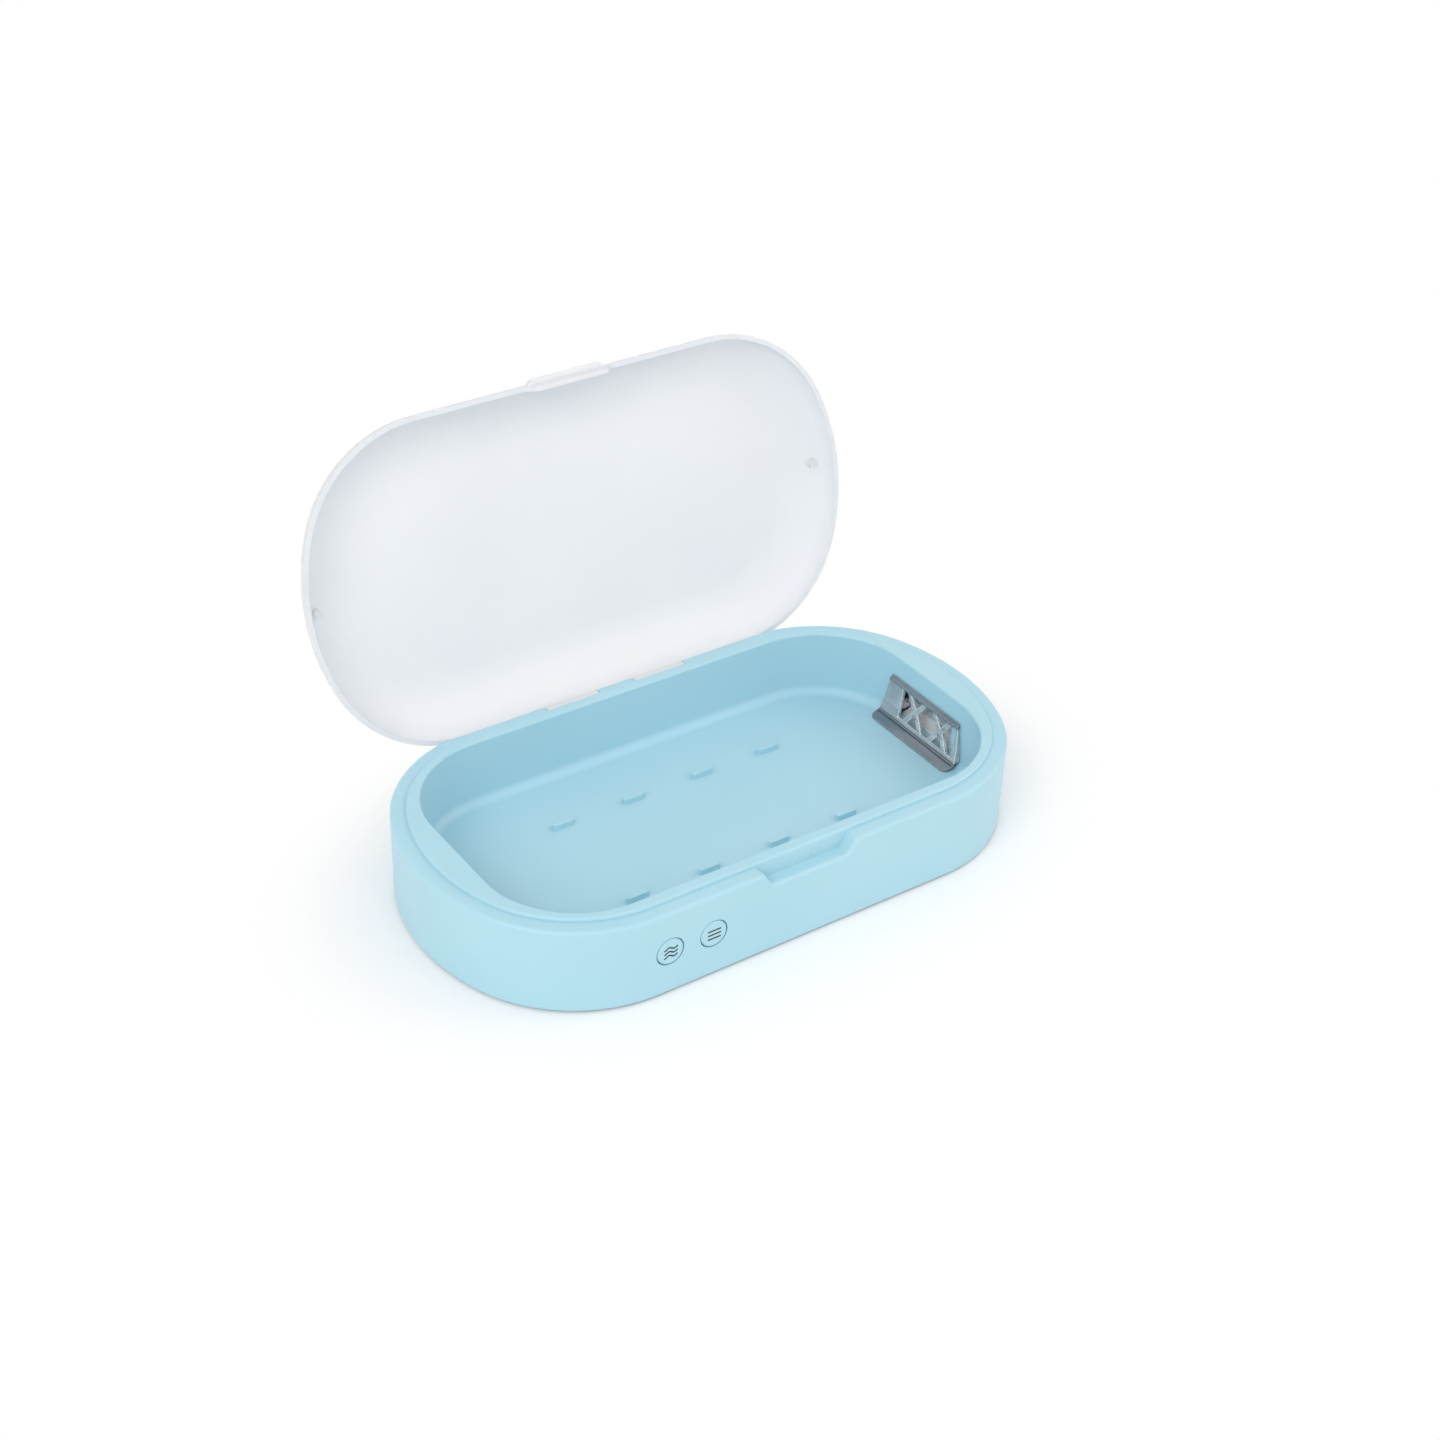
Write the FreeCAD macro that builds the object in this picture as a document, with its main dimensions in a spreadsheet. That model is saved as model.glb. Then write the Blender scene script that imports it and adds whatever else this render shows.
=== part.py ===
import FreeCAD, Part
import os
from math import cos, hypot, radians, sin, sqrt
from types import SimpleNamespace

import Sketcher

# A box that sterilizes small things with ultraviolet lamps, drawn with its lid open.
# X runs along the box, the front is towards -Y, and the feet stand on Z = 0.

# Driving dimensions in millimetres, apart from the one angle, in degrees
DIMENSIONS = {
    # Body outline from above: straight sides, corner arcs and wide end arcs
    "body_length": 230,
    "body_width": 125,
    "corner_centre_spacing": 19.8,
    "end_radius_gain": 27.1,
    # Outer housing
    "skirt_gap": 1.0,
    "skirt_wall": 2.0,
    "ledge_level": 34.0,
    "ledge_thickness": 2.2,
    "ledge_inset": 6.6,
    "shoulder_radius": 1.4,
    "skirt_edge_radius": 0.6,
    "stop_ring_inset": 4.0,
    "stop_ring_height": 1.2,
    # Chamber tray
    "lip_inset": 5.4,
    "lip_rise": 1.4,
    "lip_edge_radius": 1.0,
    "side_rim_width": 10,
    "end_rim_width": 15.5,
    "chamber_end_flat": 35,
    "chamber_edge_radius": 0.8,
    "floor_thickness": 1.8,
    "tray_wall": 1.8,
    "cove_radius": 3.5,
    "rib_length": 8.6,
    "rib_width": 2.2,
    "rib_height": 2.2,
    "rib_end_radius": 0.8,
    "rib_pitch": 29.7,
    "rib_row_pitch": 48.4,
    # Lid
    "lid_open_angle": 105,
    "lid_gap": 0.4,
    "lid_wall": 1.8,
    "lid_height": 15.6,
    "dome_inset": 22,
    "dome_rim_radius": 10,
    "dome_land": 6,
    # Latch at the front
    "recess_top_width": 38.2,
    "recess_foot_width": 31.2,
    "recess_depth": 5.7,
    "recess_corner_radius": 2.6,
    "recess_mouth_radius": 3.0,
    "latch_block_end": 3.7,
    "detent_radius": 1.2,
    "detent_height": 0.3,
    "detent_drop": 3.2,
    "detent_shift": 4.5,
    "tab_side_clearance": 1.1,
    "tab_foot_clearance": 1.1,
    "tab_corner_radius": 2.0,
    "tab_wall": 1.6,
    "tab_root": 1.2,
    "grip_width": 31,
    "grip_reach": 1.7,
    "grip_height": 1.7,
    "grip_edge_radius": 0.7,
    # Hinge at the rear
    "hinge_radius": 3.2,
    "relief_run": 10,
    "hinge_zone_width": 60,
    "hinge_middle_width": 15,
    "hinge_block_end": 7,
    "block_clearance": 0.6,
    "pin_radius": 1.0,
    "pin_end_inset": 1.0,
    "pin_seat_clearance": 0.02,
    "pin_running_clearance": 0.06,
    "knuckle_clearance": 0.3,
    # Lid magnets and the sensors under the lip
    "magnet_inset": 6.8,
    "magnet_radius": 1.1,
    "magnet_height": 1.5,
    "magnet_clearance": 0.05,
    "magnet_boss_radius": 1.7,
    "magnet_boss_depth": 6.2,
    "sensor_radius": 1.1,
    "sensor_length": 12,
    "sensor_gap": 0.1,
    # Lamp covers on the end walls of the chamber
    "cover_top_level": 27.0,
    "cover_top_width": 40,
    "cover_foot_width": 45,
    "cover_wall_gap": 0.45,
    "cover_floor_gap": 0.1,
    "cover_top_reach": 1.2,
    "cover_crease_reach": 3.4,
    "cover_crease_height": 1.9,
    "cover_skirt_reach": 7.7,
    "cover_skirt_edge": 0.6,
    "cover_bow": 0.6,
    "cover_bevel": 1.2,
    "cover_corner_radius": 2.5,
    "cover_sheet": 1.2,
    "cover_end_wall": 2.4,
    "lattice_width": 31.2,
    "lattice_height": 11.8,
    "lattice_foot": 2.0,
    "lattice_shift": 3.8,
    "lattice_bar": 1.5,
    "cross_spacing": 14.6,
    "cross_width": 9.6,
    # Lamps behind the end walls
    "lamp_level": 18.2,
    "lamp_standoff": 3.3,
    "lamp_length": 40,
    "tube_radius": 2.6,
    "tube_bore_radius": 1.8,
    "cap_length": 4.5,
    "cap_wall": 0.4,
    "lamp_fit": 0.05,
    "window_width": 30.8,
    "window_height": 13.5,
    "reflector_end_gap": 0.45,
    "reflector_radius": 6.0,
    "reflector_sheet": 0.6,
    "reflector_flange": 2.0,
    "reflector_setback": 0.1,
    "holder_width": 5.6,
    "holder_depth": 7.0,
    "holder_height": 10,
    # Buttons
    "button_radius": 5.05,
    "button_gap": 0.4,
    "button_spacing": 17.2,
    "button_end_gap": 4.0,
    "button_level": 18.0,
    "button_proud": 0.3,
    "button_edge_radius": 0.5,
    "button_flange_radius": 6.6,
    "button_flange_thickness": 0.8,
    "button_stem_radius": 1.6,
    "button_stem_length": 0.3,
    "button_travel": 0.5,
    "switch_clearance": 0.2,
    # Boards and electrics
    "button_board_width": 38,
    "button_board_height": 14,
    "board_thickness": 1.2,
    "board_wall_gap": 0.1,
    "switch_side": 6,
    "plunger_rise": 0.6,
    "plunger_radius": 1.6,
    "board_ribbon_margin": 3.1,
    "main_board_front": 22,
    "board_skirt_gap": 0.9,
    "board_drop": 1.4,
    "board_hole_inset": 5,
    "board_boss_radius": 2.5,
    "board_screw_radius": 0.9,
    "board_screw_head_radius": 1.9,
    "board_screw_head_height": 0.9,
    "board_screw_length": 2.8,
    "chip_side": 12,
    "chip_height": 1.0,
    "chip_clearance": 0.4,
    "transformer_width": 18,
    "transformer_depth": 4.4,
    "transformer_height": 11,
    "capacitor_radius": 2.0,
    "capacitor_height": 9,
    "part_spacing": 16,
    "inlet_inset": 14,
    "inlet_width": 8.0,
    "inlet_height": 2.8,
    "inlet_corner_radius": 0.9,
    "inlet_sheet": 0.3,
    "inlet_back_gap": 0.9,
    "inlet_back_wall": 2.0,
    "inlet_tongue": 0.7,
    "inlet_tongue_inset": 0.9,
    "inlet_setback": 0.3,
    "inlet_gap": 0.3,
    "lead_radius": 0.7,
    "lead_bend_radius": 4,
    "ribbon_width": 6,
    "ribbon_thickness": 0.5,
    # Underside
    "bottom_plate": 1.8,
    "bottom_recess": 0.4,
    "bottom_gap": 0.2,
    "seat_gap": 0.1,
    "foot_radius": 6,
    "foot_inset": 0.6,
    "foot_end_inset": 27,
    "foot_side_inset": 34.5,
    "foot_edge_radius": 0.4,
    "post_radius": 3,
    "post_board_gap": 18,
    "post_side_inset": 24.5,
    "screw_radius": 1.1,
    "screw_fit": 0.05,
    "screw_hole_clearance": 0.3,
    "screw_head_radius": 2.3,
    "screw_head_height": 1.0,
    "screw_length": 4.2,
    # How far a cut runs past the face that it opens
    "overrun": 1.0,
}
# How close two places have to be to count as the same one
SAME_PLACE = 0.001

# Sketcher's own numbers: a curve's points count from one, and the sketch origin is curve -1
START, END, CENTRE = range(1, 4)
ROOT, ROOT_POINT = -1, START

UP = FreeCAD.Vector(0, 0, 1)
ALONG = {
    "X": FreeCAD.Rotation(FreeCAD.Vector(0, 1, 0), 90),
    "Y": FreeCAD.Rotation(FreeCAD.Vector(-1, 0, 0), 90),
    "Z": FreeCAD.Rotation(),
}

doc = FreeCAD.newDocument("SterilizerBox")
sheet = doc.addObject("Spreadsheet::Sheet", "Sizes")
for row, (alias, number) in enumerate(DIMENSIONS.items(), start=1):
    sheet.set(f"A{row}", alias)
    sheet.set(f"B{row}", str(number))
    sheet.setAlias(f"B{row}", alias)
doc.recompute()


class Size:
    """A length that knows its value and the sheet expression that drives it."""

    def __init__(self, value, text):
        self.value = float(value)
        self.text = text

    def joined(self, other, sign, value):
        return Size(value, f"({self.text} {sign} {other.text})")

    def __add__(self, other):
        other = as_size(other)
        return self.joined(other, "+", self.value + other.value)

    def __sub__(self, other):
        other = as_size(other)
        return self.joined(other, "-", self.value - other.value)

    def __mul__(self, other):
        other = as_size(other)
        return self.joined(other, "*", self.value * other.value)

    def __truediv__(self, other):
        other = as_size(other)
        return self.joined(other, "/", self.value / other.value)

    def __neg__(self):
        return Size(-self.value, f"(0 - {self.text})")


def as_size(number):
    return number if isinstance(number, Size) else Size(number, str(number))


def from_sheet(alias):
    return Size(sheet.get(alias), f"Sizes.{alias}")


def root(size):
    return Size(sqrt(size.value), f"sqrt({size.text})")


d = SimpleNamespace(**{alias: from_sheet(alias) for alias in DIMENSIONS})
ZERO = as_size(0)


# Levels and faces that several pieces share
half_length = d.body_length / 2
half_width = d.body_width / 2
corner_rise = d.corner_centre_spacing / 2
corner_radius = half_width - corner_rise
end_radius = corner_radius + d.end_radius_gain
end_centre = half_length - end_radius
straight_end = end_centre + root(d.end_radius_gain * d.end_radius_gain - corner_rise * corner_rise)
chamber_length = d.body_length - d.end_rim_width * 2
chamber_width = d.body_width - d.side_rim_width * 2
chamber_corner = (chamber_width - d.chamber_end_flat) / 2
chamber_end = chamber_length / 2
tray_side = chamber_width / 2 + d.tray_wall
tray_end = chamber_end + d.tray_wall
skirt_inside = half_width - d.skirt_wall
lip_face = half_width - d.lip_inset
lip_level = d.ledge_level + d.lip_rise
ledge_underside = d.ledge_level - d.ledge_thickness
bottom_level = d.skirt_gap + d.bottom_recess
bottom_top = bottom_level + d.bottom_plate
board_under = bottom_top + d.chip_clearance + d.chip_height
board_top = board_under + d.board_thickness
tray_underside = board_top + d.board_drop
floor_level = tray_underside + d.floor_thickness
stop_level = bottom_top + d.seat_gap
cavity_floor = stop_level + d.stop_ring_height
block_face = tray_side + d.block_clearance

# The hinge line lies as far below the ledge as inside the rear wall, so the lid rolls round the edge
hinge_y = half_width - d.hinge_radius
hinge_z = d.ledge_level - d.hinge_radius
rim_level = d.hinge_radius + d.lid_gap
lid_length = d.body_length - d.hinge_radius * 2
lid_width = d.body_width - d.hinge_radius * 2
lid_corner = corner_radius - d.hinge_radius
lid_end = end_radius - d.hinge_radius
magnet_x = lid_length / 2 - d.magnet_inset
hinge_block_width = d.hinge_zone_width + d.hinge_block_end * 2
lid_cos = Size(cos(radians(d.lid_open_angle.value)), f"cos({d.lid_open_angle.text})")
lid_sin = Size(sin(radians(d.lid_open_angle.value)), f"sin({d.lid_open_angle.text})")


def bind(item, path, size):
    item.setExpression(path, as_size(size).text)


def centred(middle, width):
    """The two limits of a width about its middle."""
    return middle - width / 2, middle + width / 2


def four_places(spacing_x, spacing_y):
    """The corners of a rectangle about the middle of the box."""
    return [
        (spacing_x / 2 * side_x, spacing_y / 2 * side_y)
        for side_x in (-1, 1)
        for side_y in (-1, 1)
    ]


# Part primitives, with every size and place bound to the sheet


def put(item, x, y, z, rotation=ALONG["Z"]):
    place = [as_size(value) for value in (x, y, z)]
    base = FreeCAD.Vector(*(value.value for value in place))
    item.Placement = FreeCAD.Placement(base, rotation)
    for axis, value in zip("xyz", place):
        bind(item, f"Placement.Base.{axis}", value)


def make_box(name, x, y, z):
    """A box between two limits along each axis."""
    item = doc.addObject("Part::Box", name)
    for edge, (low, high) in zip(("Length", "Width", "Height"), (x, y, z)):
        bind(item, edge, as_size(high) - low)
    put(item, x[0], y[0], z[0])
    return item


def make_cylinder(name, along, x, y, z, radius, length):
    """A cylinder that starts at a point and runs along one axis."""
    item = doc.addObject("Part::Cylinder", name)
    bind(item, "Radius", radius)
    bind(item, "Height", length)
    put(item, x, y, z, ALONG[along])
    return item


def make_fuse(name, items):
    item = doc.addObject("Part::MultiFuse", name)
    item.Shapes = items
    return item


def make_cut(name, base, tool):
    item = doc.addObject("Part::Cut", name)
    item.Base = base
    item.Tool = tool
    return item


def make_group(name, items):
    """Several separate solids of one kind, kept together as one node."""
    item = doc.addObject("Part::Compound", name)
    item.Links = items
    return item


def make_mirror(name, source):
    """The same piece at the other end of the box."""
    item = doc.addObject("Part::Mirroring", name)
    item.Source = source
    item.Normal = FreeCAD.Vector(1, 0, 0)
    return item


# Sketches, with every constraint that has a size bound to the sheet


def plane_of(body, role):
    return next(item for item in body.Origin.OriginFeatures if item.Role == role)


def make_sketch(body, name, role="XY_Plane", offset=ZERO):
    """A sketch on one of the body's origin planes, moved along the plane's normal."""
    sketch = body.newObject("Sketcher::SketchObject", name)
    sketch.AttachmentSupport = [(plane_of(body, role), "")]
    sketch.MapMode = "FlatFace"
    bind(sketch, "AttachmentOffset.Base.z", offset)
    return sketch


def dimension(sketch, kind, *where_and_size):
    *where, size = where_and_size
    size = as_size(size)
    index = sketch.addConstraint(Sketcher.Constraint(kind, *where, size.value))
    sketch.setExpression(f"Constraints[{index}]", size.text)


def place_point(sketch, curve, point, x=None, y=None):
    if x is not None:
        dimension(sketch, "DistanceX", ROOT, ROOT_POINT, curve, point, x)
    if y is not None:
        dimension(sketch, "DistanceY", ROOT, ROOT_POINT, curve, point, y)


def vector(x, y):
    return FreeCAD.Vector(as_size(x).value, as_size(y).value, 0)


def add_line(sketch, start, end):
    return sketch.addGeometry(Part.LineSegment(start, end))


def add_arc(sketch, centre, start, end, clockwise=False):
    """An arc about a centre; Sketcher keeps arcs anticlockwise, so a clockwise one is turned round."""
    radius = start.distanceToPoint(centre)
    circle = Part.Circle(centre, UP, radius)
    first, last = (end, start) if clockwise else (start, end)
    arc = Part.ArcOfCircle(circle, circle.parameter(first), circle.parameter(last))
    return sketch.addGeometry(arc)


def draw_circle(sketch, x, y, radius):
    circle = Part.Circle(vector(x, y), UP, as_size(radius).value)
    curve = sketch.addGeometry(circle)
    place_point(sketch, curve, CENTRE, x, y)
    dimension(sketch, "Radius", curve, radius)


def draw_polygon(sketch, corners):
    """A closed outline of straight lines, each corner placed from the sketch origin."""
    points = [vector(x, y) for x, y in corners]
    lines = [
        add_line(sketch, start, end)
        for start, end in zip(points, points[1:] + points[:1])
    ]
    for line, following in zip(lines, lines[1:] + lines[:1]):
        sketch.addConstraint(Sketcher.Constraint("Coincident", line, END, following, START))
    for line, (x, y) in zip(lines, corners):
        place_point(sketch, line, START, x, y)


def draw_rounded_rectangle(sketch, x, y, radius):
    """A rectangle between two limits each way, with four equal round corners."""
    left, right = (as_size(value) for value in x)
    low, high = (as_size(value) for value in y)
    radius = as_size(radius)
    inner_left, inner_right = left + radius, right - radius
    inner_low, inner_high = low + radius, high - radius
    bottom = add_line(sketch, vector(inner_left, low), vector(inner_right, low))
    corner_a = add_arc(
        sketch, vector(inner_right, inner_low), vector(inner_right, low), vector(right, inner_low)
    )
    side_right = add_line(sketch, vector(right, inner_low), vector(right, inner_high))
    corner_b = add_arc(
        sketch, vector(inner_right, inner_high), vector(right, inner_high), vector(inner_right, high)
    )
    top = add_line(sketch, vector(inner_right, high), vector(inner_left, high))
    corner_c = add_arc(
        sketch, vector(inner_left, inner_high), vector(inner_left, high), vector(left, inner_high)
    )
    side_left = add_line(sketch, vector(left, inner_high), vector(left, inner_low))
    corner_d = add_arc(
        sketch, vector(inner_left, inner_low), vector(left, inner_low), vector(inner_left, low)
    )
    loop = [bottom, corner_a, side_right, corner_b, top, corner_c, side_left, corner_d]
    join_smoothly(sketch, loop)
    for line in (bottom, top):
        sketch.addConstraint(Sketcher.Constraint("Horizontal", line))
    for line in (side_left, side_right):
        sketch.addConstraint(Sketcher.Constraint("Vertical", line))
    dimension(sketch, "Radius", corner_a, radius)
    for corner in (corner_b, corner_c, corner_d):
        sketch.addConstraint(Sketcher.Constraint("Equal", corner_a, corner))
    place_point(sketch, side_left, START, x=left)
    place_point(sketch, side_right, START, x=right)
    place_point(sketch, bottom, START, y=low)
    place_point(sketch, top, START, y=high)


def join_smoothly(sketch, loop):
    """Tangent joints from each curve's end to the start of the next."""
    for curve, following in zip(loop, loop[1:] + loop[:1]):
        sketch.addConstraint(Sketcher.Constraint("Tangent", curve, END, following, START))


def draw_oval(sketch, length, width, corner, end, middle_y=ZERO):
    """Two straight sides, four corner arcs and two wide end arcs, all tangent."""
    top = middle_y + width / 2
    foot = middle_y - width / 2
    end_x = length / 2 - end
    rise = width.value / 2 - corner.value
    run = sqrt((end.value - corner.value) ** 2 - rise**2)
    corner_x = end_x.value + run
    reach = end.value / hypot(run, rise)
    mid = middle_y.value

    def at(x, y):
        return FreeCAD.Vector(x, mid + y, 0)

    side = width.value / 2
    joint_x = end_x.value + run * reach
    joint_y = rise * reach
    side_low = add_line(sketch, at(-corner_x, -side), at(corner_x, -side))
    low_right = add_arc(sketch, at(corner_x, -rise), at(corner_x, -side), at(joint_x, -joint_y))
    end_right = add_arc(sketch, at(end_x.value, 0), at(joint_x, -joint_y), at(joint_x, joint_y))
    high_right = add_arc(sketch, at(corner_x, rise), at(joint_x, joint_y), at(corner_x, side))
    side_high = add_line(sketch, at(corner_x, side), at(-corner_x, side))
    high_left = add_arc(sketch, at(-corner_x, rise), at(-corner_x, side), at(-joint_x, joint_y))
    end_left = add_arc(sketch, at(-end_x.value, 0), at(-joint_x, joint_y), at(-joint_x, -joint_y))
    low_left = add_arc(sketch, at(-corner_x, -rise), at(-joint_x, -joint_y), at(-corner_x, -side))
    loop = [side_low, low_right, end_right, high_right, side_high, high_left, end_left, low_left]
    join_smoothly(sketch, loop)
    for line in (side_low, side_high):
        sketch.addConstraint(Sketcher.Constraint("Horizontal", line))
    place_point(sketch, side_low, START, y=foot)
    place_point(sketch, side_high, START, y=top)
    place_point(sketch, end_right, CENTRE, end_x, middle_y)
    place_point(sketch, end_left, CENTRE, -end_x, middle_y)
    dimension(sketch, "Radius", low_right, corner)
    dimension(sketch, "Radius", end_right, end)
    for arc in (high_right, high_left, low_left):
        sketch.addConstraint(Sketcher.Constraint("Equal", low_right, arc))
    sketch.addConstraint(Sketcher.Constraint("Equal", end_right, end_left))


def draw_bowed_outline(sketch, top, foot, others, radius):
    """A closed outline: a hollow curve down from the top to the foot, then straight lines on round."""
    high = vector(*top)
    low = vector(*foot)
    along = (low - high).normalize()
    sideways = FreeCAD.Vector(along.y, -along.x, 0)
    half_chord = high.distanceToPoint(low) / 2
    centre = (high + low) * 0.5 + sideways * sqrt(radius.value**2 - half_chord**2)
    curve = add_arc(sketch, centre, high, low, clockwise=True)
    dimension(sketch, "Radius", curve, radius)
    corners = [foot, *others, top]
    points = [vector(x, y) for x, y in corners]
    lines = [add_line(sketch, first, last) for first, last in zip(points, points[1:])]
    ends = [(curve, START)] + [(line, END) for line in lines]
    for (item, point), line in zip(ends, lines):
        sketch.addConstraint(Sketcher.Constraint("Coincident", item, point, line, START))
    sketch.addConstraint(Sketcher.Constraint("Coincident", lines[-1], END, curve, END))
    for line, (x, y) in zip(lines, corners):
        place_point(sketch, line, START, x, y)
    place_point(sketch, lines[-1], END, *top)


def draw_body_oval(sketch, inset):
    """The body outline, moved inwards all round."""
    draw_oval(
        sketch,
        d.body_length - inset * 2,
        d.body_width - inset * 2,
        corner_radius - inset,
        end_radius - inset,
    )


# PartDesign features


def make_body(name):
    return doc.addObject("PartDesign::Body", name)


def pad(body, sketch, length, backwards=False, both_ways=False):
    feature = body.newObject("PartDesign::Pad", sketch.Name + "Pad")
    feature.Profile = sketch
    feature.Reversed = backwards
    if both_ways:
        feature.SideType = "Symmetric"
    bind(feature, "Length", length)
    return feature


def pocket(body, sketch, depth, backwards=False, both_ways=False):
    """A cut of a given depth, which has to take something away."""
    doc.recompute()
    before = body.Shape.Volume
    feature = body.newObject("PartDesign::Pocket", sketch.Name + "Pocket")
    feature.Profile = sketch
    feature.Reversed = backwards
    if both_ways:
        feature.SideType = "Symmetric"
    bind(feature, "Length", depth)
    doc.recompute()
    if body.Shape.Volume >= before:
        raise RuntimeError(f"{feature.Name} cuts nothing")
    return feature


def mirror_features(body, features, name):
    """The same features on the other side of the middle plane across X."""
    doc.recompute()
    feature = body.newObject("PartDesign::Mirrored", name)
    feature.Originals = features
    feature.MirrorPlane = (plane_of(body, "YZ_Plane"), [""])
    body.Tip = feature
    return feature


def round_edges(body, name, radius, wanted):
    """A fillet on the edges of the body so far that pass a test."""
    doc.recompute()
    base = body.Tip
    edges = [
        f"Edge{number}"
        for number, edge in enumerate(base.Shape.Edges, start=1)
        if wanted(edge.BoundBox)
    ]
    if not edges:
        raise RuntimeError(f"{name} finds no edges")
    feature = body.newObject("PartDesign::Fillet", name)
    feature.Base = (base, edges)
    bind(feature, "Radius", radius)
    return feature


def same(first, second):
    return abs(first - as_size(second).value) < SAME_PLACE


def level_at(height):
    """A test for edges that lie flat at one height."""
    return lambda box: same(box.ZMin, height) and same(box.ZMax, height)


# Outer housing: skirt, shoulder, ledge, latch recess and hinge pocket


def make_outer_housing():
    body = make_body("outer_housing")

    outline = make_sketch(body, "SkirtOutline", offset=d.skirt_gap)
    draw_body_oval(outline, ZERO)
    pad(body, outline, d.ledge_level - d.skirt_gap)
    round_edges(body, "SkirtEdge", d.skirt_edge_radius, level_at(d.skirt_gap))

    opening = make_sketch(body, "LedgeOpening", offset=d.ledge_level)
    draw_body_oval(opening, d.ledge_inset)
    pocket(body, opening, d.ledge_thickness)
    cavity = make_sketch(body, "Cavity", offset=cavity_floor)
    draw_body_oval(cavity, d.skirt_wall)
    pocket(body, cavity, ledge_underside - cavity_floor, backwards=True)
    ring = make_sketch(body, "StopRing", offset=d.skirt_gap)
    draw_body_oval(ring, d.stop_ring_inset)
    pocket(body, ring, cavity_floor - d.skirt_gap, backwards=True)
    seat = make_sketch(body, "BottomSeat", offset=d.skirt_gap)
    draw_body_oval(seat, d.skirt_wall)
    pocket(body, seat, stop_level - d.skirt_gap, backwards=True)

    add_latch_recess(body)
    add_shoulder(body)
    add_hinge_relief(body)
    add_hinge_pocket(body)

    holes = make_sketch(body, "ButtonHoles", "XZ_Plane", half_width)
    for x in button_places():
        draw_circle(holes, x, d.button_level, d.button_radius + d.button_gap)
    pocket(body, holes, d.skirt_wall + d.overrun)
    slot_x = centred(inlet_x, d.inlet_width + d.inlet_gap * 2)
    slot_z = (board_top - d.inlet_gap, board_top + d.inlet_height + d.inlet_gap)
    slot = make_sketch(body, "InletSlot", "XZ_Plane", -half_width)
    draw_rounded_rectangle(slot, slot_x, slot_z, d.inlet_corner_radius + d.inlet_gap)
    pocket(body, slot, d.skirt_wall + d.overrun, backwards=True)
    return body


def add_hinge_relief(body):
    """The rear edge cut back round the hinge line, as far along as the lid's rim rolls past it."""
    radius = rim_level - d.knuckle_clearance
    reach = root(radius * radius - d.hinge_radius * d.hinge_radius)
    start = -(straight_end + d.relief_run)
    outside = half_width + d.overrun
    above = d.ledge_level + d.overrun
    top = (hinge_y + reach, d.ledge_level)
    foot = (half_width, hinge_z + reach)
    relief = make_sketch(body, "HingeRelief", "YZ_Plane", start)
    others = [(outside, foot[1]), (outside, above), (top[0], above)]
    draw_bowed_outline(relief, top, foot, others, radius)
    pocket(body, relief, -start * 2, backwards=True)


def add_hinge_pocket(body):
    """A block behind the rear wall, cut for the two lid knuckles and bored for the pin."""
    pocket_radius = d.hinge_radius + d.knuckle_clearance
    block_foot = hinge_z - pocket_radius - d.skirt_wall
    block_x = centred(ZERO, hinge_block_width)
    block = make_sketch(body, "HingeBlock", offset=block_foot)
    block_back = half_width - d.skirt_wall / 2
    draw_polygon(block, [
        (block_x[0], block_face),
        (block_x[1], block_face),
        (block_x[1], block_back),
        (block_x[0], block_back),
    ])
    pad(body, block, d.ledge_level - d.ledge_thickness / 2 - block_foot)

    start = d.hinge_middle_width / 2
    length = d.hinge_zone_width / 2 - start
    round_cut = make_sketch(body, "KnucklePocket", "YZ_Plane", start)
    draw_circle(round_cut, hinge_y, hinge_z, pocket_radius)
    round_pocket = pocket(body, round_cut, length, backwards=True)
    open_cut = make_sketch(body, "KnuckleMouth", "YZ_Plane", start)
    draw_polygon(open_cut, [
        (lip_face, hinge_z),
        (half_width + d.overrun, hinge_z),
        (half_width + d.overrun, d.ledge_level + d.overrun),
        (lip_face, d.ledge_level + d.overrun),
    ])
    open_pocket = pocket(body, open_cut, length, backwards=True)
    mirror_features(body, [round_pocket, open_pocket], "OtherKnucklePocket")

    bore = make_sketch(body, "PinBore", "YZ_Plane", block_x[0])
    draw_circle(bore, hinge_y, hinge_z, d.pin_radius + d.pin_seat_clearance)
    pocket(body, bore, hinge_block_width, backwards=True)


def add_latch_recess(body):
    """A block behind the front wall, and the finger recess with its detent cut into it."""
    recess_foot = d.ledge_level - d.recess_depth
    block_foot = recess_foot - d.skirt_wall
    block_x = centred(ZERO, d.recess_top_width + d.latch_block_end * 2)
    block_front = half_width - d.skirt_wall / 2
    block = make_sketch(body, "LatchBlock", offset=block_foot)
    draw_polygon(block, [
        (block_x[0], -block_front),
        (block_x[1], -block_front),
        (block_x[1], -block_face),
        (block_x[0], -block_face),
    ])
    pad(body, block, d.ledge_level - d.ledge_thickness / 2 - block_foot)

    recess = make_sketch(body, "LatchRecess", "XZ_Plane", half_width)
    draw_recess(recess, recess_foot)
    pocket(body, recess, d.lip_inset)
    detent = make_sketch(body, "Detent", "XZ_Plane", lip_face)
    draw_circle(detent, d.detent_shift, d.ledge_level - d.detent_drop, d.detent_radius)
    pad(body, detent, d.detent_height)


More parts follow.
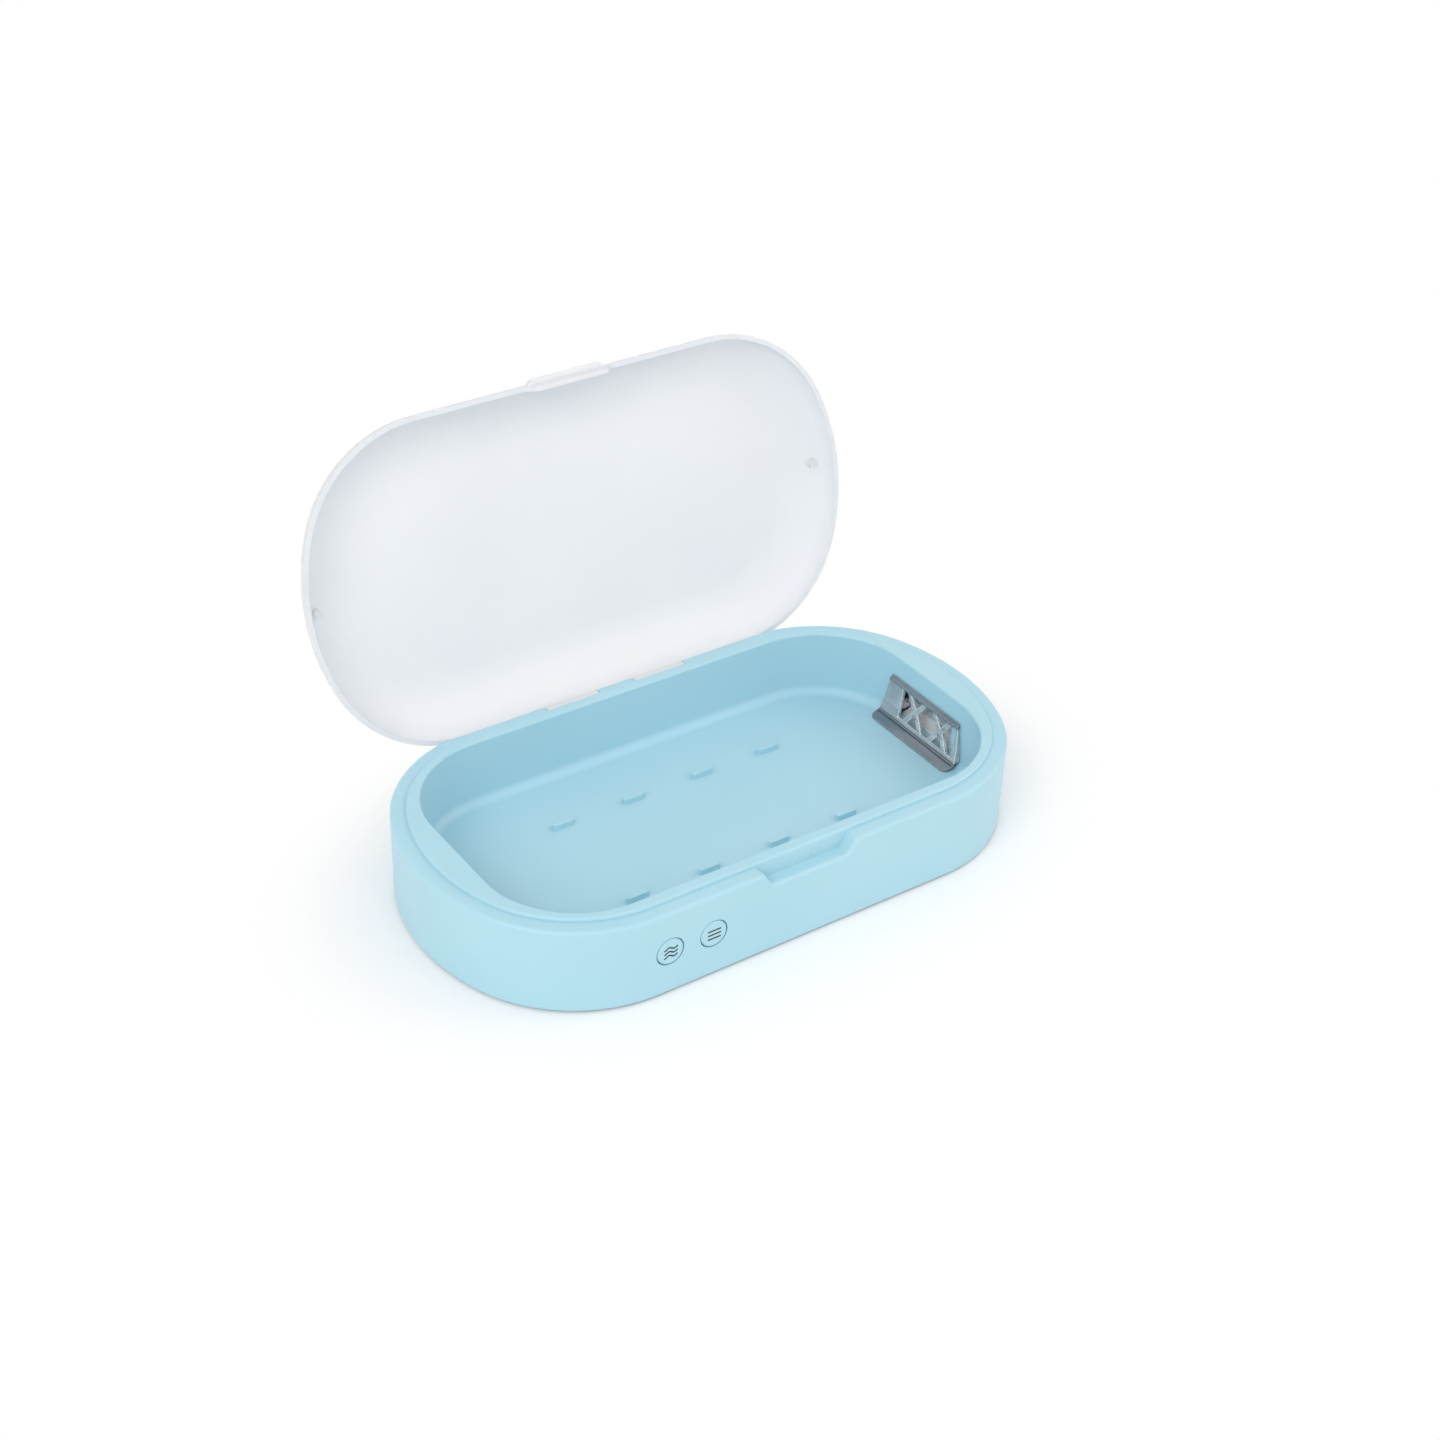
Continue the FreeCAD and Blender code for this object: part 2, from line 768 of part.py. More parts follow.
def draw_recess(sketch, foot):
    """A trapezoid with round corners at its foot, whose sides flow into the ledge by a round mouth."""
    half_foot = d.recess_foot_width / 2
    half_top = d.recess_top_width / 2
    run = half_top - half_foot
    slant = root(run * run + d.recess_depth * d.recess_depth)
    bend = (slant - run) / d.recess_depth
    corner_cut = d.recess_corner_radius * bend
    mouth_cut = d.recess_mouth_radius * bend
    low_x = half_foot + corner_cut * run / slant
    low_z = foot + corner_cut * d.recess_depth / slant
    high_x = half_top - mouth_cut * run / slant
    high_z = d.ledge_level - mouth_cut * d.recess_depth / slant
    corner_x = half_foot - corner_cut
    corner_z = foot + d.recess_corner_radius
    mouth_x = half_top + mouth_cut
    mouth_z = d.ledge_level - d.recess_mouth_radius
    top = d.ledge_level + d.overrun

    base = add_line(sketch, vector(-corner_x, foot), vector(corner_x, foot))
    corner_right = add_arc(
        sketch, vector(corner_x, corner_z), vector(corner_x, foot), vector(low_x, low_z)
    )
    side_right = add_line(sketch, vector(low_x, low_z), vector(high_x, high_z))
    mouth_right = add_arc(
        sketch,
        vector(mouth_x, mouth_z),
        vector(high_x, high_z),
        vector(mouth_x, d.ledge_level),
        clockwise=True,
    )
    wall_right = add_line(sketch, vector(mouth_x, d.ledge_level), vector(mouth_x, top))
    cover = add_line(sketch, vector(mouth_x, top), vector(-mouth_x, top))
    wall_left = add_line(sketch, vector(-mouth_x, top), vector(-mouth_x, d.ledge_level))
    mouth_left = add_arc(
        sketch,
        vector(-mouth_x, mouth_z),
        vector(-mouth_x, d.ledge_level),
        vector(-high_x, high_z),
        clockwise=True,
    )
    side_left = add_line(sketch, vector(-high_x, high_z), vector(-low_x, low_z))
    corner_left = add_arc(
        sketch, vector(-corner_x, corner_z), vector(-low_x, low_z), vector(-corner_x, foot)
    )

    def tie(kind, *where):
        sketch.addConstraint(Sketcher.Constraint(kind, *where))

    tie("Tangent", base, END, corner_right, START)
    tie("Tangent", corner_right, END, side_right, START)
    tie("Tangent", side_right, END, mouth_right, END)
    tie("Tangent", mouth_left, START, side_left, START)
    tie("Tangent", side_left, END, corner_left, START)
    tie("Tangent", corner_left, END, base, START)
    tie("Coincident", mouth_right, START, wall_right, START)
    tie("Coincident", wall_right, END, cover, START)
    tie("Coincident", cover, END, wall_left, START)
    tie("Coincident", wall_left, END, mouth_left, END)
    for line in (base, cover):
        tie("Horizontal", line)
    for line in (wall_left, wall_right):
        tie("Vertical", line)
    place_point(sketch, base, START, y=foot)
    place_point(sketch, cover, START, y=top)
    place_point(sketch, side_right, START, low_x, low_z)
    place_point(sketch, side_right, END, high_x, high_z)
    place_point(sketch, side_left, START, -high_x, high_z)
    place_point(sketch, side_left, END, -low_x, low_z)
    for mouth, tip in ((mouth_right, START), (mouth_left, END)):
        tie("Vertical", mouth, CENTRE, mouth, tip)
        place_point(sketch, mouth, tip, y=d.ledge_level)


def add_shoulder(body):
    """One rounded edge right round the top of the wall, which dips along the latch recess."""
    def front_rim(box):
        at_front = same(box.YMin, -half_width) and same(box.YMax, -half_width)
        return at_front and level_at(d.ledge_level)(box)

    round_edges(body, "Shoulder", d.shoulder_radius, front_rim)


# Chamber tray: lip, chamber, rest ribs, screw posts and lamp windows


def make_chamber_tray():
    body = make_body("chamber_tray")
    basin = make_sketch(body, "Basin", offset=tray_underside)
    draw_rounded_rectangle(
        basin, (-tray_end, tray_end), (-tray_side, tray_side), chamber_corner + d.tray_wall
    )
    pad(body, basin, lip_level - tray_underside)
    lip = make_sketch(body, "Lip", offset=d.ledge_level)
    draw_body_oval(lip, d.lip_inset)
    pad(body, lip, d.lip_rise)
    round_edges(body, "LipEdge", d.lip_edge_radius, level_at(lip_level))

    chamber = make_sketch(body, "Chamber", offset=lip_level)
    draw_rounded_rectangle(
        chamber,
        centred(ZERO, chamber_length),
        centred(ZERO, chamber_width),
        chamber_corner,
    )
    pocket(body, chamber, lip_level - floor_level)
    round_edges(body, "FloorCove", d.cove_radius, level_at(floor_level))

    def mouth(box):
        return level_at(lip_level)(box) and box.YMax < tray_side.value and box.XMax < tray_end.value

    round_edges(body, "ChamberEdge", d.chamber_edge_radius, mouth)

    ribs = make_sketch(body, "RestRibs", offset=floor_level)
    for column_share in (-1.5, -0.5, 0.5, 1.5):
        for row_share in (-0.5, 0.5):
            draw_rounded_rectangle(
                ribs,
                centred(d.rib_pitch * column_share, d.rib_length),
                centred(d.rib_row_pitch * row_share, d.rib_width),
                d.rib_end_radius,
            )
    pad(body, ribs, d.rib_height)

    add_tray_bosses(body)

    window = make_sketch(body, "LampWindow", "YZ_Plane", chamber_end - d.overrun)
    window_y = centred(ZERO, d.window_width)
    window_z = centred(d.lamp_level, d.window_height)
    draw_polygon(window, [
        (window_y[0], window_z[0]),
        (window_y[1], window_z[0]),
        (window_y[1], window_z[1]),
        (window_y[0], window_z[1]),
    ])
    cut = pocket(body, window, d.tray_wall + d.overrun * 2, backwards=True)
    mirror_features(body, [cut], "OtherLampWindow")
    return body


def add_tray_bosses(body):
    """Posts under the floor for the bottom screws, and low bosses for the control board."""
    posts = make_sketch(body, "ScrewPosts", offset=tray_underside)
    for x, y in post_places():
        draw_circle(posts, x, y, d.post_radius)
    pad(body, posts, tray_underside - stop_level, backwards=True)
    pilots = make_sketch(body, "PostPilots", offset=stop_level)
    for x, y in post_places():
        draw_circle(pilots, x, y, d.screw_radius + d.screw_fit)
    pocket(body, pilots, d.screw_length - d.bottom_plate + d.screw_head_height, backwards=True)
    bosses = make_sketch(body, "BoardBosses", offset=tray_underside)
    for x, y in board_holes():
        draw_circle(bosses, x, y, d.board_boss_radius)
    pad(body, bosses, d.board_drop, backwards=True)
    threads = make_sketch(body, "BoardPilots", offset=board_top)
    for x, y in board_holes():
        draw_circle(threads, x, y, d.board_screw_radius + d.screw_fit)
    pocket(body, threads, d.board_screw_length - d.board_thickness + d.screw_fit, backwards=True)


# Lid, drawn closed about its hinge line and then swung open


def make_lid():
    body = make_body("lid")
    middle_y = -lid_width / 2
    top = rim_level + d.lid_height

    path = make_sketch(body, "RimPath", offset=rim_level)
    draw_oval(path, lid_length, lid_width, lid_corner, lid_end, middle_y)
    profile = make_sketch(body, "DomeProfile", "YZ_Plane")
    draw_dome_profile(profile, top)
    wall = body.newObject("PartDesign::AdditivePipe", "DomeWall")
    wall.Profile = profile
    wall.Spine = (path, [])
    plate_inset = d.dome_inset + d.dome_land
    plate = make_sketch(body, "TopPlate", offset=top - d.lid_wall)
    draw_oval(
        plate,
        lid_length - plate_inset * 2,
        lid_width - plate_inset * 2,
        lid_corner - plate_inset,
        lid_end - plate_inset,
        middle_y,
    )
    pad(body, plate, d.lid_wall)

    add_lid_tab(body)
    add_lid_knuckles(body)

    boss_level = rim_level + d.magnet_boss_depth
    boss = make_sketch(body, "MagnetBoss", offset=boss_level)
    draw_circle(boss, magnet_x, middle_y, d.magnet_boss_radius)
    boss_pad = pad(body, boss, d.lid_wall)
    boss_pad.Type = "UpToFirst"
    seat = make_sketch(body, "MagnetSeat", offset=boss_level)
    draw_circle(seat, magnet_x, middle_y, d.magnet_radius + d.magnet_clearance)
    seat_pocket = pocket(body, seat, d.magnet_height + d.magnet_clearance, backwards=True)
    mirror_features(body, [boss_pad, seat_pocket], "OtherMagnetBoss")

    swing_open(body, ZERO, ZERO, ZERO)
    return body


def draw_dome_profile(sketch, top):
    """The dome wall cut at the rear: a tight arc at the rim, a wide arc above it and a flat land."""
    rim = rim_level.value
    inset = d.dome_inset.value
    rise = d.lid_height.value
    tight = d.dome_rim_radius.value
    wall = d.lid_wall.value
    wide = (inset**2 - 2 * inset * tight + rise**2) / (2 * (rise - tight))
    low_centre = FreeCAD.Vector(-tight, rim, 0)
    high_centre = FreeCAD.Vector(-inset, rim + rise - wide, 0)
    outward = (low_centre - high_centre).normalize()
    land_end = -(d.dome_inset + d.dome_land)
    inner_top = top - d.lid_wall

    outer_joint = low_centre + outward * tight
    inner_joint = low_centre + outward * (tight - wall)
    outer_top = vector(-d.dome_inset, top)
    inner_end = vector(-d.dome_inset, inner_top)
    outer_low = add_arc(sketch, low_centre, vector(ZERO, rim_level), outer_joint)
    outer_high = add_arc(sketch, high_centre, outer_joint, outer_top)
    flat_top = add_line(sketch, outer_top, vector(land_end, top))
    edge = add_line(sketch, vector(land_end, top), vector(land_end, inner_top))
    flat_under = add_line(sketch, vector(land_end, inner_top), inner_end)
    inner_high = add_arc(sketch, high_centre, inner_end, inner_joint, clockwise=True)
    inner_low = add_arc(sketch, low_centre, inner_joint, vector(-d.lid_wall, rim_level), clockwise=True)
    rim_line = add_line(sketch, vector(-d.lid_wall, rim_level), vector(ZERO, rim_level))

    def tie(kind, *where):
        sketch.addConstraint(Sketcher.Constraint(kind, *where))

    tie("Tangent", outer_low, END, outer_high, START)
    tie("Tangent", inner_high, START, inner_low, END)
    for curve, point, following in (
        (outer_high, END, flat_top),
        (flat_top, END, edge),
        (edge, END, flat_under),
        (inner_low, START, rim_line),
    ):
        tie("Coincident", curve, point, following, START)
    tie("Coincident", flat_under, END, inner_high, END)
    tie("Coincident", rim_line, END, outer_low, START)
    tie("Coincident", inner_low, CENTRE, outer_low, CENTRE)
    tie("Coincident", inner_high, CENTRE, outer_high, CENTRE)
    place_point(sketch, outer_low, CENTRE, -d.dome_rim_radius, rim_level)
    dimension(sketch, "Radius", outer_low, d.dome_rim_radius)
    dimension(sketch, "Radius", inner_low, d.dome_rim_radius - d.lid_wall)
    place_point(sketch, outer_low, START, y=rim_level)
    place_point(sketch, inner_low, START, y=rim_level)
    place_point(sketch, outer_high, CENTRE, x=-d.dome_inset)
    place_point(sketch, outer_high, END, -d.dome_inset, top)
    place_point(sketch, inner_high, END, x=-d.dome_inset)
    place_point(sketch, flat_top, END, land_end, top)
    place_point(sketch, edge, END, land_end, inner_top)


def add_lid_tab(body):
    """The front tab that drops into the latch recess, and the grip ridge above it."""
    tab_top = rim_level + d.tab_root
    tab_foot = d.hinge_radius - d.recess_depth + d.tab_foot_clearance
    half_top = d.recess_top_width / 2 - d.tab_side_clearance
    half_foot = d.recess_foot_width / 2 - d.tab_side_clearance
    tab = make_sketch(body, "LatchTab", "XZ_Plane", lid_width)
    draw_polygon(tab, [
        (-half_foot, tab_foot),
        (half_foot, tab_foot),
        (half_top, rim_level),
        (half_top, tab_top),
        (-half_top, tab_top),
        (-half_top, rim_level),
    ])
    pad(body, tab, d.tab_wall, backwards=True)

    def tab_corner(box):
        across = same(box.XLength, 0) and same(box.ZLength, 0)
        return across and same(box.ZMin, tab_foot)

    round_edges(body, "TabCorners", d.tab_corner_radius, tab_corner)

    grip_front = -(lid_width + d.grip_reach)
    grip = make_sketch(body, "GripRidge", offset=rim_level)
    grip_x = centred(ZERO, d.grip_width)
    grip_root = -(lid_width - d.tab_wall)
    draw_polygon(grip, [
        (grip_x[0] + d.grip_reach, grip_front),
        (grip_x[1] - d.grip_reach, grip_front),
        (grip_x[1], -lid_width),
        (grip_x[1], grip_root),
        (grip_x[0], grip_root),
        (grip_x[0], -lid_width),
    ])
    pad(body, grip, d.grip_height)
    round_edges(
        body,
        "GripEdge",
        d.grip_edge_radius,
        lambda box: same(box.YMin, grip_front) and same(box.YMax, grip_front),
    )


def add_lid_knuckles(body):
    """Two barrels on the hinge line, each with a web up to the rear rim."""
    start = d.hinge_middle_width / 2 + d.knuckle_clearance
    length = d.hinge_zone_width / 2 - d.knuckle_clearance - start
    barrel = make_sketch(body, "Barrel", "YZ_Plane", start)
    draw_circle(barrel, ZERO, ZERO, d.hinge_radius)
    barrel_pad = pad(body, barrel, length)
    web = make_sketch(body, "BarrelWeb", "YZ_Plane", start)
    draw_polygon(web, [
        (-d.lid_wall, ZERO),
        (ZERO, ZERO),
        (ZERO, rim_level),
        (-d.lid_wall, rim_level + d.tab_root),
    ])
    web_pad = pad(body, web, length)
    mirror_features(body, [barrel_pad, web_pad], "OtherBarrel")
    bore = make_sketch(body, "BarrelBore", "YZ_Plane", -d.hinge_zone_width / 2)
    draw_circle(bore, ZERO, ZERO, d.pin_radius + d.pin_running_clearance)
    pocket(body, bore, d.hinge_zone_width, backwards=True)


def swing_open(item, x, y, z):
    """Place an item of the lid, given in the closed lid's hinge frame, with the lid open."""
    open_y = hinge_y + as_size(y) * lid_cos + as_size(z) * lid_sin
    open_z = hinge_z - as_size(y) * lid_sin + as_size(z) * lid_cos
    turn = FreeCAD.Rotation(FreeCAD.Vector(-1, 0, 0), d.lid_open_angle.value)
    put(item, x, open_y, open_z, turn)
    bind(item, "Placement.Rotation.Angle", d.lid_open_angle)


def make_lid_magnets():
    level = rim_level + d.magnet_boss_depth
    magnets = []
    for number, x in enumerate((-magnet_x, magnet_x), start=1):
        magnet = make_cylinder(f"Magnet{number}", "Z", ZERO, ZERO, ZERO, d.magnet_radius, d.magnet_height)
        swing_open(magnet, x, -lid_width / 2, level)
        magnets.append(magnet)
    return make_group("lid_magnets", magnets)


def make_hinge_pin():
    length = hinge_block_width - d.pin_end_inset * 2
    return make_cylinder("hinge_pin", "X", -length / 2, hinge_y, hinge_z, d.pin_radius, length)


# Lamp cover: a hollow clear panel with a flared skirt, end walls and a lattice window


cover_back = chamber_end - d.cover_wall_gap
cover_foot = floor_level + d.cover_floor_gap
crease_x = cover_back - d.cover_crease_reach
crease_z = cover_foot + d.cover_crease_height
cover_top_x = cover_back - d.cover_top_reach
skirt_tip = cover_back - d.cover_skirt_reach


def make_lamp_cover():
    body = make_body("lamp_cover_right")
    side = make_sketch(body, "CoverSide", "XZ_Plane")
    draw_cover_side(side)
    pad(body, side, d.cover_foot_width, both_ways=True)

    def skirt_corner(box):
        return same(box.XLength, 0) and same(box.YLength, 0) and same(box.XMin, skirt_tip)

    round_edges(body, "SkirtCorners", d.cover_corner_radius, skirt_corner)
    hollow = make_sketch(body, "CoverHollow", "XZ_Plane")
    draw_cover_hollow(hollow)
    pocket(body, hollow, d.cover_foot_width - d.cover_end_wall * 2, both_ways=True)
    slopes = make_sketch(body, "CoverSlopes", "YZ_Plane", skirt_tip)
    for side_share in (-1, 1):
        outside = (d.cover_foot_width / 2 + d.overrun) * side_share
        draw_polygon(slopes, [
            (d.cover_foot_width / 2 * side_share, crease_z),
            (outside, crease_z),
            (outside, d.cover_top_level + d.overrun),
            (d.cover_top_width / 2 * side_share, d.cover_top_level + d.overrun),
            (d.cover_top_width / 2 * side_share, d.cover_top_level),
        ])
    pocket(body, slopes, d.cover_skirt_reach + d.overrun, backwards=True)
    add_lattice(body)
    return body


def bow_radius(top, foot):
    """The radius of the hollow curve between two points of the panel."""
    run = top[0] - foot[0]
    rise = top[1] - foot[1]
    chord_square = run * run + rise * rise
    return (chord_square / 4 + d.cover_bow * d.cover_bow) / (d.cover_bow * 2)


def draw_cover_side(sketch):
    """The cover from the side: bevel, hollow panel, crease and flared skirt."""
    top = (cover_top_x, d.cover_top_level - d.cover_bevel)
    foot = (crease_x, crease_z)
    others = [
        (skirt_tip, cover_foot + d.cover_skirt_edge),
        (skirt_tip, cover_foot),
        (cover_back - d.cove_radius, cover_foot),
        (cover_back, cover_foot + d.cove_radius),
        (cover_back, d.cover_top_level),
    ]
    draw_bowed_outline(sketch, top, foot, others, bow_radius(top, foot))


def draw_cover_hollow(sketch):
    """The room behind the panel, open towards the wall and the floor."""
    back = cover_back + d.overrun
    top = (cover_top_x + d.cover_sheet, d.cover_top_level - d.cover_bevel - d.cover_sheet)
    foot = (crease_x + d.cover_sheet, crease_z)
    others = [(foot[0], cover_foot - d.overrun), (back, cover_foot - d.overrun), (back, top[1])]
    draw_bowed_outline(sketch, top, foot, others, bow_radius(top, foot))


def add_lattice(body):
    """Two crosses of slanted bars, which leave seven windows within a frame."""
    low = crease_z + d.lattice_foot
    high = low + d.lattice_height
    middle_z = (low + high) / 2
    left = -d.lattice_shift - d.lattice_width / 2
    right = left + d.lattice_width
    crosses = centred(-d.lattice_shift, d.cross_spacing)
    bar = d.lattice_bar
    reach = d.cross_width / 2
    windows = make_sketch(body, "LatticeWindows", "YZ_Plane", skirt_tip)
    for y in crosses:
        for end, tip in ((low, middle_z - bar), (high, middle_z + bar)):
            draw_polygon(windows, [(y - reach + bar, end), (y + reach - bar, end), (y, tip)])
    for y, frame, side_share in ((crosses[0], left, -1), (crosses[1], right, 1)):
        waist = (y + bar * side_share, middle_z)
        foot = y + (reach + bar / 2) * side_share
        draw_polygon(windows, [waist, (foot, low), (frame, low), (frame, high), (foot, high)])
    draw_polygon(windows, [
        (crosses[0] + bar, middle_z),
        (crosses[0] + reach + bar / 2, high),
        (crosses[1] - reach - bar / 2, high),
        (crosses[1] - bar, middle_z),
        (crosses[1] - reach - bar / 2, low),
        (crosses[0] + reach + bar / 2, low),
    ])
    pocket(body, windows, d.cover_skirt_reach + d.overrun, backwards=True)


# Lamp, caps, holders, reflector and leads behind the right end wall

lamp_x = tray_end + d.lamp_standoff
cap_radius = d.tube_radius + d.lamp_fit + d.cap_wall
holder_bore = cap_radius + d.lamp_fit
holder_middle = d.lamp_length / 2 - d.cap_length / 2
holder_foot = d.lamp_level - d.holder_height / 2


def make_lamp():
    low = -d.lamp_length / 2
    glass = make_cylinder("Glass", "Y", lamp_x, low, d.lamp_level, d.tube_radius, d.lamp_length)
    bore = make_cylinder("GlassBore", "Y", lamp_x, low, d.lamp_level, d.tube_bore_radius, d.lamp_length)
    return make_cut("uv_lamp_right", glass, bore)


def make_lamp_caps():
    caps = []
    for number, side in enumerate((-1, 1), start=1):
        inner = (d.lamp_length / 2 - d.cap_length) * side
        outer = (d.lamp_length / 2 + d.cap_wall) * side
        tip = (d.lamp_length / 2 + d.lamp_fit) * side
        low, high = (inner, outer) if side > 0 else (outer, inner)
        bore_low, bore_high = (inner - d.overrun, tip) if side > 0 else (tip, inner + d.overrun)
        cup = make_cylinder(f"Cap{number}", "Y", lamp_x, low, d.lamp_level, cap_radius, high - low)
        bore = make_cylinder(
            f"CapBore{number}",
            "Y",
            lamp_x,
            bore_low,
            d.lamp_level,
            d.tube_radius + d.lamp_fit,
            bore_high - bore_low,
        )
        caps.append(make_cut(f"CapCup{number}", cup, bore))
    return make_group("lamp_caps_right", caps)


def make_lamp_holders():
    holders = []
    for number, side in enumerate((-1, 1), start=1):
        y = centred(holder_middle * side, d.holder_width)
        block = make_box(
            f"Holder{number}",
            (tray_end, tray_end + d.holder_depth),
            y,
            (holder_foot, holder_foot + d.holder_height),
        )
        bore = make_cylinder(
            f"HolderBore{number}",
            "Y",
            lamp_x,
            y[0] - d.overrun,
            d.lamp_level,
            holder_bore,
            d.holder_width + d.overrun * 2,
        )
        holders.append(make_cut(f"HolderBlock{number}", block, bore))
    return make_group("lamp_holders_right", holders)


def make_reflector():
    """A half round trough of bright sheet with a flange above and below it."""
    body = make_body("reflector_right")
    sketch = make_sketch(body, "Trough", "XZ_Plane")
    face = tray_end + d.reflector_setback
    front = face.value
    level = d.lamp_level.value
    inner = d.reflector_radius.value
    outer = inner + d.reflector_sheet.value
    wing = outer + d.reflector_flange.value
    back = front + d.reflector_sheet.value
    bend = sqrt(outer**2 - d.reflector_sheet.value**2)

    def at(x, z):
        return FreeCAD.Vector(x, level + z, 0)

    middle = at(front, 0)
    lines = [
        (at(front, inner), at(front, wing)),
        (at(front, wing), at(back, wing)),
        (at(back, wing), at(back, bend)),
        (at(back, -bend), at(back, -wing)),
        (at(back, -wing), at(front, -wing)),
        (at(front, -wing), at(front, -inner)),
    ]
    up, tip, down, drop, foot, rise = (add_line(sketch, *line) for line in lines)
    back_arc = add_arc(sketch, middle, at(back, -bend), at(back, bend))
    face_arc = add_arc(sketch, middle, at(front, -inner), at(front, inner))

    def tie(first, first_point, second, second_point):
        sketch.addConstraint(
            Sketcher.Constraint("Coincident", first, first_point, second, second_point)
        )

    tie(up, END, tip, START)
    tie(tip, END, down, START)
    tie(down, END, back_arc, END)
    tie(back_arc, START, drop, START)
    tie(drop, END, foot, START)
    tie(foot, END, rise, START)
    tie(rise, END, face_arc, START)
    tie(face_arc, END, up, START)
    tie(face_arc, CENTRE, back_arc, CENTRE)
    for line in (up, down, drop, rise):
        sketch.addConstraint(Sketcher.Constraint("Vertical", line))
    for line in (tip, foot):
        sketch.addConstraint(Sketcher.Constraint("Horizontal", line))
    place_point(sketch, face_arc, CENTRE, face, d.lamp_level)
    dimension(sketch, "Radius", face_arc, d.reflector_radius)
    dimension(sketch, "Radius", back_arc, d.reflector_radius + d.reflector_sheet)
    wing_size = d.reflector_radius + d.reflector_sheet + d.reflector_flange
    place_point(sketch, up, START, x=face)
    place_point(sketch, up, END, y=d.lamp_level + wing_size)
    place_point(sketch, rise, END, x=face)
    place_point(sketch, rise, START, y=d.lamp_level - wing_size)
    place_point(sketch, down, START, x=face + d.reflector_sheet)
    place_point(sketch, drop, START, x=face + d.reflector_sheet)
    half_room = holder_middle - d.holder_width / 2
    pad(body, sketch, (half_room - d.reflector_end_gap) * 2, both_ways=True)
    return body


def make_leads(name, side):
    """A pair of wires from the control board's edge, under the floor and up to the holders."""
    level = board_top - d.board_thickness / 2
    leads = []
    for number, row in enumerate((-1, 1), start=1):
        lead_body = make_body(f"{name}_{number}")
        plane_y = -(holder_middle * row)
        path = make_sketch(lead_body, f"{name}Path{number}", "XZ_Plane", plane_y)
        start_x = board_half * side
        bend_x = (lamp_x - d.lead_bend_radius) * side
        rise_x = lamp_x * side
        bend_z = level + d.lead_bend_radius
        run = add_line(path, vector(start_x, level), vector(bend_x, level))
        corner = add_arc(
            path,
            vector(bend_x, bend_z),
            vector(bend_x, level),
            vector(rise_x, bend_z),
            clockwise=side < 0,
        )
        rise = add_line(path, vector(rise_x, bend_z), vector(rise_x, holder_foot))
        first, last = (END, START) if side < 0 else (START, END)
        path.addConstraint(Sketcher.Constraint("Tangent", run, END, corner, first))
        path.addConstraint(Sketcher.Constraint("Tangent", corner, last, rise, START))
        path.addConstraint(Sketcher.Constraint("Horizontal", run))
        place_point(path, run, START, start_x, level)
        dimension(path, "Radius", corner, d.lead_bend_radius)
        place_point(path, rise, END, rise_x, holder_foot)
        path.addConstraint(Sketcher.Constraint("Vertical", rise))
        section = make_sketch(lead_body, f"{name}Section{number}", "YZ_Plane", start_x)
        draw_circle(section, -plane_y, level, d.lead_radius)
        tube = lead_body.newObject("PartDesign::AdditivePipe", f"{name}Tube{number}")
        tube.Profile = section
        tube.Spine = (path, [])
        leads.append(lead_body)
    return make_group(name, leads)


# Buttons and the board behind them

button_face = -(half_width + d.button_proud)
flange_front = -(skirt_inside - d.button_gap)
flange_back = flange_front + d.button_flange_thickness
stem_back = flange_back + d.button_stem_length
button_board_back = -(tray_side + d.board_wall_gap)
button_board_front = button_board_back - d.board_thickness
switch_face = stem_back + d.button_travel + d.switch_clearance
switch_case_front = switch_face + d.plunger_rise


def button_places():
    """The left button stands just inside the end of the straight front."""
    left = d.button_end_gap - straight_end
    return left, left + d.button_spacing


def button_board_span():
    left, right = button_places()
    return centred((left + right) / 2, d.button_board_width)


ribbon_x = button_board_span()[1] - d.ribbon_width * 2


def make_button(name, x):
    """A cap, its retaining flange and its stem, turned about the line of travel."""
    body = make_body(name)
    profile = make_sketch(body, name + "Profile", "XY_Plane")
    draw_polygon(profile, [
        (ZERO, button_face),
        (d.button_radius - d.button_edge_radius, button_face),
        (d.button_radius, button_face + d.button_edge_radius),
        (d.button_radius, flange_front),
        (d.button_flange_radius, flange_front),
        (d.button_flange_radius, flange_back),
        (d.button_stem_radius, flange_back),
        (d.button_stem_radius, stem_back),
        (ZERO, stem_back),
    ])
    turned = body.newObject("PartDesign::Revolution", name + "Turned")
    turned.Profile = profile
    turned.ReferenceAxis = (profile, ["V_Axis"])
    put(body, x, ZERO, d.button_level)
    return body


def make_button_board():
    return make_box(
        "button_board",
        button_board_span(),
        (button_board_front, button_board_back),
        centred(d.button_level, d.button_board_height),
    )


def make_key_switches():
    switches = []
    for number, x in enumerate(button_places(), start=1):
        case = make_box(
            f"SwitchCase{number}",
            centred(x, d.switch_side),
            (switch_case_front, button_board_front),
            centred(d.button_level, d.switch_side),
        )
        plunger = make_cylinder(
            f"Plunger{number}",
            "Y",
            x,
            switch_face,
            d.button_level,
            d.plunger_radius,
            (switch_case_front + button_board_front) / 2 - switch_face,
        )
        switches.append(make_fuse(f"Switch{number}", [case, plunger]))
    return make_group("key_switches", switches)


